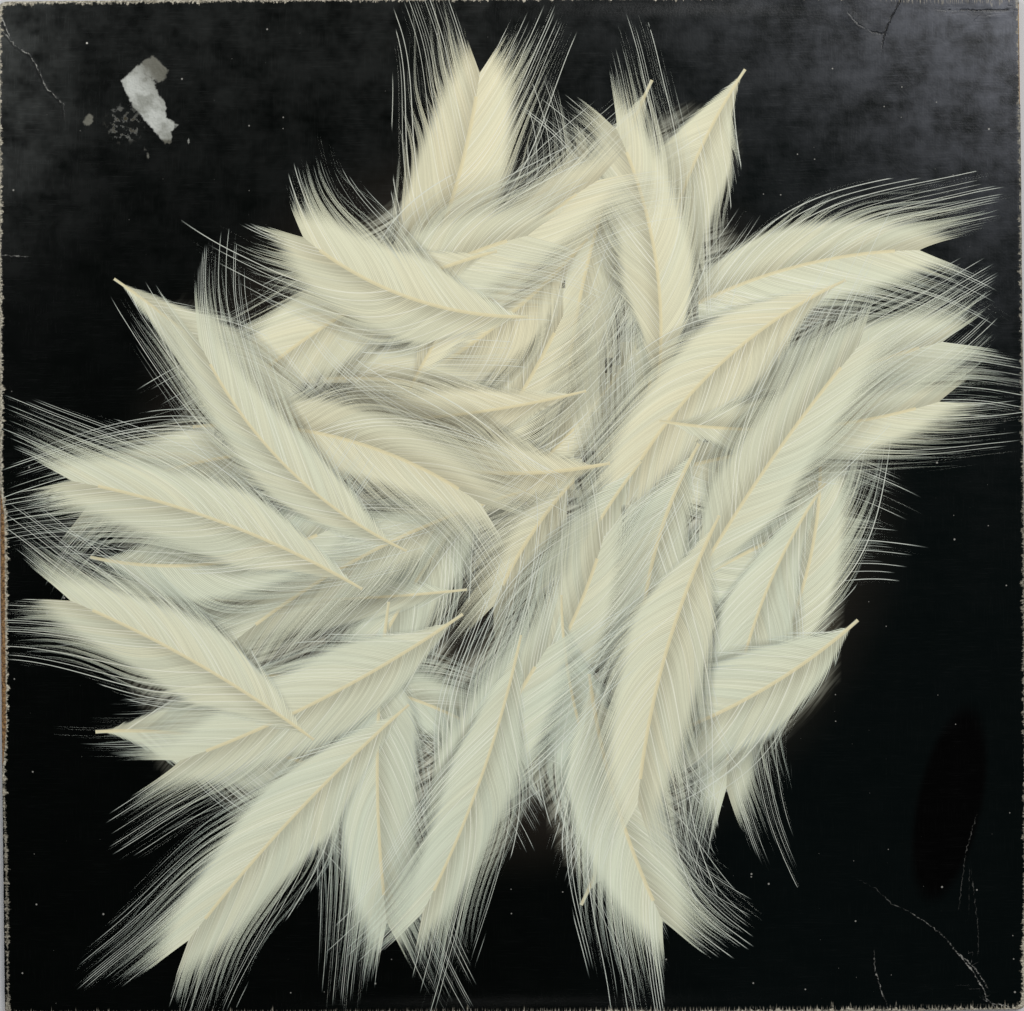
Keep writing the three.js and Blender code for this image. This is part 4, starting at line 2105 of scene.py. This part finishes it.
@dataclass(frozen=True)
class BackSheetFinish(Finish):
    """Aged cream paper: rubbed in a ring by the disc under it, spotted, darker at its edges."""

    half_width: float
    half_height: float
    ring: float
    name: ClassVar[str] = "back_sheet"
    specular: ClassVar[float] = 0.35

    def dress(self, graph: Graph) -> Surface:
        """Builds the paper's ageing.

        Args:
            graph: The material's graph.

        Returns:
            The sheet.
        """
        x, y, flat = graph.plan()
        fibre = self.fibre(graph, flat)
        clouds = graph.noise(flat, 0.02, detail=4.0, rough=0.6)
        marks = self.marks(graph, flat)
        edge = (self.half_width - x.abs()).lowest(self.half_height - y.abs()) + (clouds - 0.5) * 14.0
        ring = (graph.apart(x, y) - self.ring + 1.5).abs()
        rubbed = (1.0 - ring.ramp(0.4, 4.5)) * clouds.ramp(0.35, 0.6)
        spots, luck = graph.specks(flat, 0.09)
        ragged = (graph.noise(flat, 0.7, detail=3.0, rough=0.65) - 0.5) * 0.16
        foxed = (luck.power(6.0) * 0.24 - spots + ragged).ramp(0.0, 0.12) * luck.power(2.0) * 0.6
        colour = graph.mix(clouds.ramp(0.3, 0.7), srgb(206, 194, 164), srgb(228, 220, 196))
        colour = graph.mix(fibre.ramp(0.35, 0.65) * 0.2, colour, srgb(196, 184, 156))
        colour = graph.mix((1.0 - edge.ramp(0.0, 16.0)) * 0.45, colour, srgb(164, 138, 98))
        colour = graph.mix(rubbed * 0.4, colour, srgb(150, 138, 116))
        colour = graph.mix(foxed, colour, srgb(150, 106, 62))
        colour = graph.mix(marks * 0.25, colour, srgb(120, 110, 94))
        return Surface(colour, fibre.mixed(0.5, 0.7), fibre * 0.02 - rubbed * 0.05)


@dataclass(frozen=True)
class InnerPaperFinish(Finish):
    """Thin off-white paper, softly creased and rubbed by the disc."""

    ring: float
    name: ClassVar[str] = "inner_paper"
    specular: ClassVar[float] = 0.3

    def dress(self, graph: Graph) -> Surface:
        """Builds the paper.

        Args:
            graph: The material's graph.

        Returns:
            The paper.
        """
        x, y, flat = graph.plan()
        fibre = self.fibre(graph, flat)
        clouds = graph.noise(flat, 0.03, detail=3.0)
        ring = (graph.apart(x, y) - self.ring).abs()
        colour = graph.mix(clouds, srgb(214, 208, 190), srgb(232, 228, 214))
        colour = graph.mix((1.0 - ring.ramp(0.3, 2.5)) * 0.35, colour, srgb(150, 144, 128))
        colour = graph.mix(fibre.ramp(0.45, 0.7) * 0.15, colour, srgb(184, 174, 150))
        folds = (graph.noise(flat, 0.05, detail=2.0) - 0.5).abs()
        return Surface(colour, fibre.mixed(0.6, 0.8), fibre * 0.02 + folds.ramp(0.0, 0.02) * 0.06)


@dataclass(frozen=True)
class VinylFinish(Finish):
    """Glossy black pressed plastic: fine grooves in bands, plain lead-in, run-out and bead."""

    groove_start: float = 63.0
    groove_end: float = 146.0
    groove_pitch: float = 0.35
    bands: tuple[float, ...] = (81.0, 98.0, 112.0, 129.0)
    name: ClassVar[str] = "vinyl"
    specular: ClassVar[float] = 0.5

    def dress(self, graph: Graph) -> Surface:
        """Builds the grooves with their painted sheen, dust and sleeve scuffs.

        Args:
            graph: The material's graph.

        Returns:
            The disc.
        """
        x, y, flat = graph.plan()
        radius = graph.apart(x, y)
        grooved = radius.above(self.groove_start) * (1.0 - radius.above(self.groove_end))
        for band in self.bands:
            grooved = grooved * (radius - band).abs().above(0.7)
        loudness = graph.noise(graph.join(radius * 0.8, 0.0), detail=3.0)
        wave = graph.math("SINE", radius * 2 * math.pi / self.groove_pitch)
        marks = self.marks(graph, flat)
        specks = self.specks(graph, flat, 0.6)
        # Painted sheen: the grooved bands are painted lighter where the grooves are loud, for light
        # caught on the groove walls.
        colour = graph.mix(loudness.ramp(0.3, 0.7) * grooved * 0.5, srgb(9, 9, 10), srgb(26, 26, 28))
        colour = graph.mix(marks * 0.06 + specks * 0.3, colour, srgb(150, 148, 142))
        roughness = grooved.mixed(0.10, 0.24) + marks * 0.1
        return Surface(colour, roughness, wave * grooved * 0.012 * loudness)


@dataclass(frozen=True)
class LabelFinish(Finish):
    """Plain coloured label paper with two thin printed rings."""

    outer_ring: float = 47.0
    inner_ring: float = 17.0
    name: ClassVar[str] = "label_paper"
    specular: ClassVar[float] = 0.4

    def dress(self, graph: Graph) -> Surface:
        """Builds the label.

        Args:
            graph: The material's graph.

        Returns:
            The label.
        """
        x, y, flat = graph.plan()
        radius = graph.apart(x, y)
        fibre = self.fibre(graph, flat)
        outer = 1.0 - (radius - self.outer_ring).abs().ramp(0.25, 0.4)
        rings = outer.highest(1.0 - (radius - self.inner_ring).abs().ramp(0.3, 0.45))
        wear = graph.noise(flat, 0.12, detail=3.0)
        colour = graph.mix(wear, srgb(92, 112, 124), srgb(116, 134, 142))
        colour = graph.mix(rings * 0.8, colour, srgb(224, 216, 190))
        worn = (1.0 - radius.ramp(4.0, 9.0)) * wear.ramp(0.3, 0.7)
        colour = graph.mix(worn * 0.6, colour, srgb(196, 190, 172))
        return Surface(colour, fibre.mixed(0.45, 0.6), fibre * 0.02 - rings * 0.01)


def dress_node(name: str, material: bpy.types.Material) -> None:
    """Gives a CAD node that stays in view its finish.

    Args:
        name: The node's name.
        material: The finish as a material.
    """
    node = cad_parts[name]
    node.data.materials.clear()
    node.data.materials.append(material)
    log.info("%s: finish %s", name, material.name)


# ---- Studio


@dataclass(frozen=True)
class Studio:
    """A pale floor, soft lights and a camera looking straight down."""

    camera_height: float = 0.62
    view_width: float = 314.6 * MM
    sensor_width: float = 36.0
    roll: float = math.radians(-0.4)
    floor_radius: float = 4.0
    light_size: float = 0.8

    def build(self) -> None:
        """Sets the floor, the lights, the surroundings and the camera."""
        self.floor()
        self.light("key_light", (0.72, 0.88, 1.15), 17.6, (1.0, 0.985, 0.955))
        self.light("fill_light", (-1.05, 0.55, 1.05), 6.5, (0.97, 0.985, 1.0))
        self.light("low_light", (0.1, -1.35, 1.0), 4.2, (1.0, 0.995, 0.98))
        self.surroundings()
        self.camera()
        bpy.context.scene.view_settings.view_transform = "Standard"

    def floor(self) -> None:
        """A pale floor."""
        bpy.ops.object.select_all(action="DESELECT")
        bpy.ops.mesh.primitive_circle_add(vertices=96, radius=self.floor_radius, fill_type="NGON")
        floor = added("studio_floor")

        def dress(graph: Graph) -> Surface:
            """Builds faintly clouded paint.

            Args:
                graph: The material's graph.

            Returns:
                The floor's surface.
            """
            cloud = graph.noise(graph.place(), 0.004, detail=2.0)
            colour = graph.mix(cloud, srgb(206, 206, 208), srgb(212, 212, 214))
            return Surface(colour, 0.8, cloud, 0.0)

        floor.data.materials.append(new_material("studio_floor", 0.2, dress))

    def light(self, name: str, place: Triple, power: float, colour: Triple) -> None:
        """Adds a square soft light aimed at the sleeve.

        Args:
            name: Its name.
            place: Where it hangs, in metres.
            power: In watts.
            colour: Red, green and blue, from 0 to 1.
        """
        data = bpy.data.lights.new(name, "AREA")
        data.size = self.light_size
        data.energy = power
        data.color = colour
        lamp = bpy.data.objects.new(name, data)
        lamp.location = place
        lamp.rotation_euler = Vector(place).to_track_quat("Z", "Y").to_euler()
        bpy.context.scene.collection.objects.link(lamp)

    def surroundings(self) -> None:
        """A dim room that looks pale to the camera."""
        world = bpy.data.worlds.new("studio")
        world.use_nodes = True
        graph = Graph(world.node_tree)
        world.node_tree.nodes.clear()
        seen = graph.node("ShaderNodeLightPath")
        to_camera = Term(graph, seen.outputs["Is Camera Ray"])
        to_matt = Term(graph, seen.outputs["Is Diffuse Ray"])
        back = graph.node("ShaderNodeBackground")
        graph.feed(back.inputs["Color"], (0.79, 0.80, 0.82, 1.0))
        graph.feed(back.inputs["Strength"], to_camera * 0.85 + to_matt * 0.20 + 0.05)
        leave = graph.node("ShaderNodeOutputWorld")
        world.node_tree.links.new(back.outputs[0], leave.inputs[0])
        bpy.context.scene.world = world

    def camera(self) -> None:
        """A camera straight over the sleeve, which fills its view."""
        data = bpy.data.cameras.new("camera")
        data.sensor_width = self.sensor_width
        data.lens = self.sensor_width * self.camera_height / self.view_width
        camera = bpy.data.objects.new("camera", data)
        front = CAD_BOX[1][2]
        camera.location = (0, 0, front + self.camera_height)
        camera.rotation_euler = (0, 0, self.roll)
        bpy.context.scene.collection.objects.link(camera)
        bpy.context.scene.camera = camera


def main() -> None:
    """Builds the sleeve piece by piece, then the studio."""
    Studio().build()
    low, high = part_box("front_wrap")
    _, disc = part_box("record_disc")
    card_low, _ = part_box("board_back")
    back_low, back_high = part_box("inner_back_leaf")
    fold_low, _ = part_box("inner_fold")
    _, liner_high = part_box("back_liner")
    drape = Drape(
        half_width=high.x,
        half_height=high.y,
        level=high.z,
        edge_level=4.1 * MM,
        disc_radius=disc.x,
    )
    effects = Effects()
    drift = Drift()

    wrap = FrontWrap(drape, low.z)
    sheet = wrap.build()
    wrap.mark(sheet, drift)
    finish = PrintedFinish(effects, high.x / MM, high.y / MM, drift)
    sheet.data.materials.append(finish.material())
    finish_piece(sheet, "front_print", "front_wrap")

    card = FoldedCard(drape, card_low.z).build()
    card.data.materials.append(CardFinish(effects).material())
    boards = ("board_back", "board_front", "board_spine", "board_top_fold", "board_bottom_fold")
    finish_piece(card, "board", *boards)

    inner = InnerSleeve(drape, Vector((fold_low.x, back_low.y, back_low.z)), back_high).build()
    inner.data.materials.append(InnerPaperFinish(effects, disc.x / MM).material())
    leaves = ("inner_back_leaf", "inner_front_leaf", "inner_fold", "inner_top_seam", "inner_bottom_seam")
    finish_piece(inner, "inner_paper", *leaves)

    back_sheet = BackSheetFinish(effects, liner_high.x / MM, liner_high.y / MM, disc.x / MM)
    dress_node("back_liner", back_sheet.material())
    dress_node("record_disc", VinylFinish(effects).material())
    label = LabelFinish(effects).material()
    dress_node("label_front", label)
    dress_node("label_back", label)


if __name__ == "__main__":
    main()
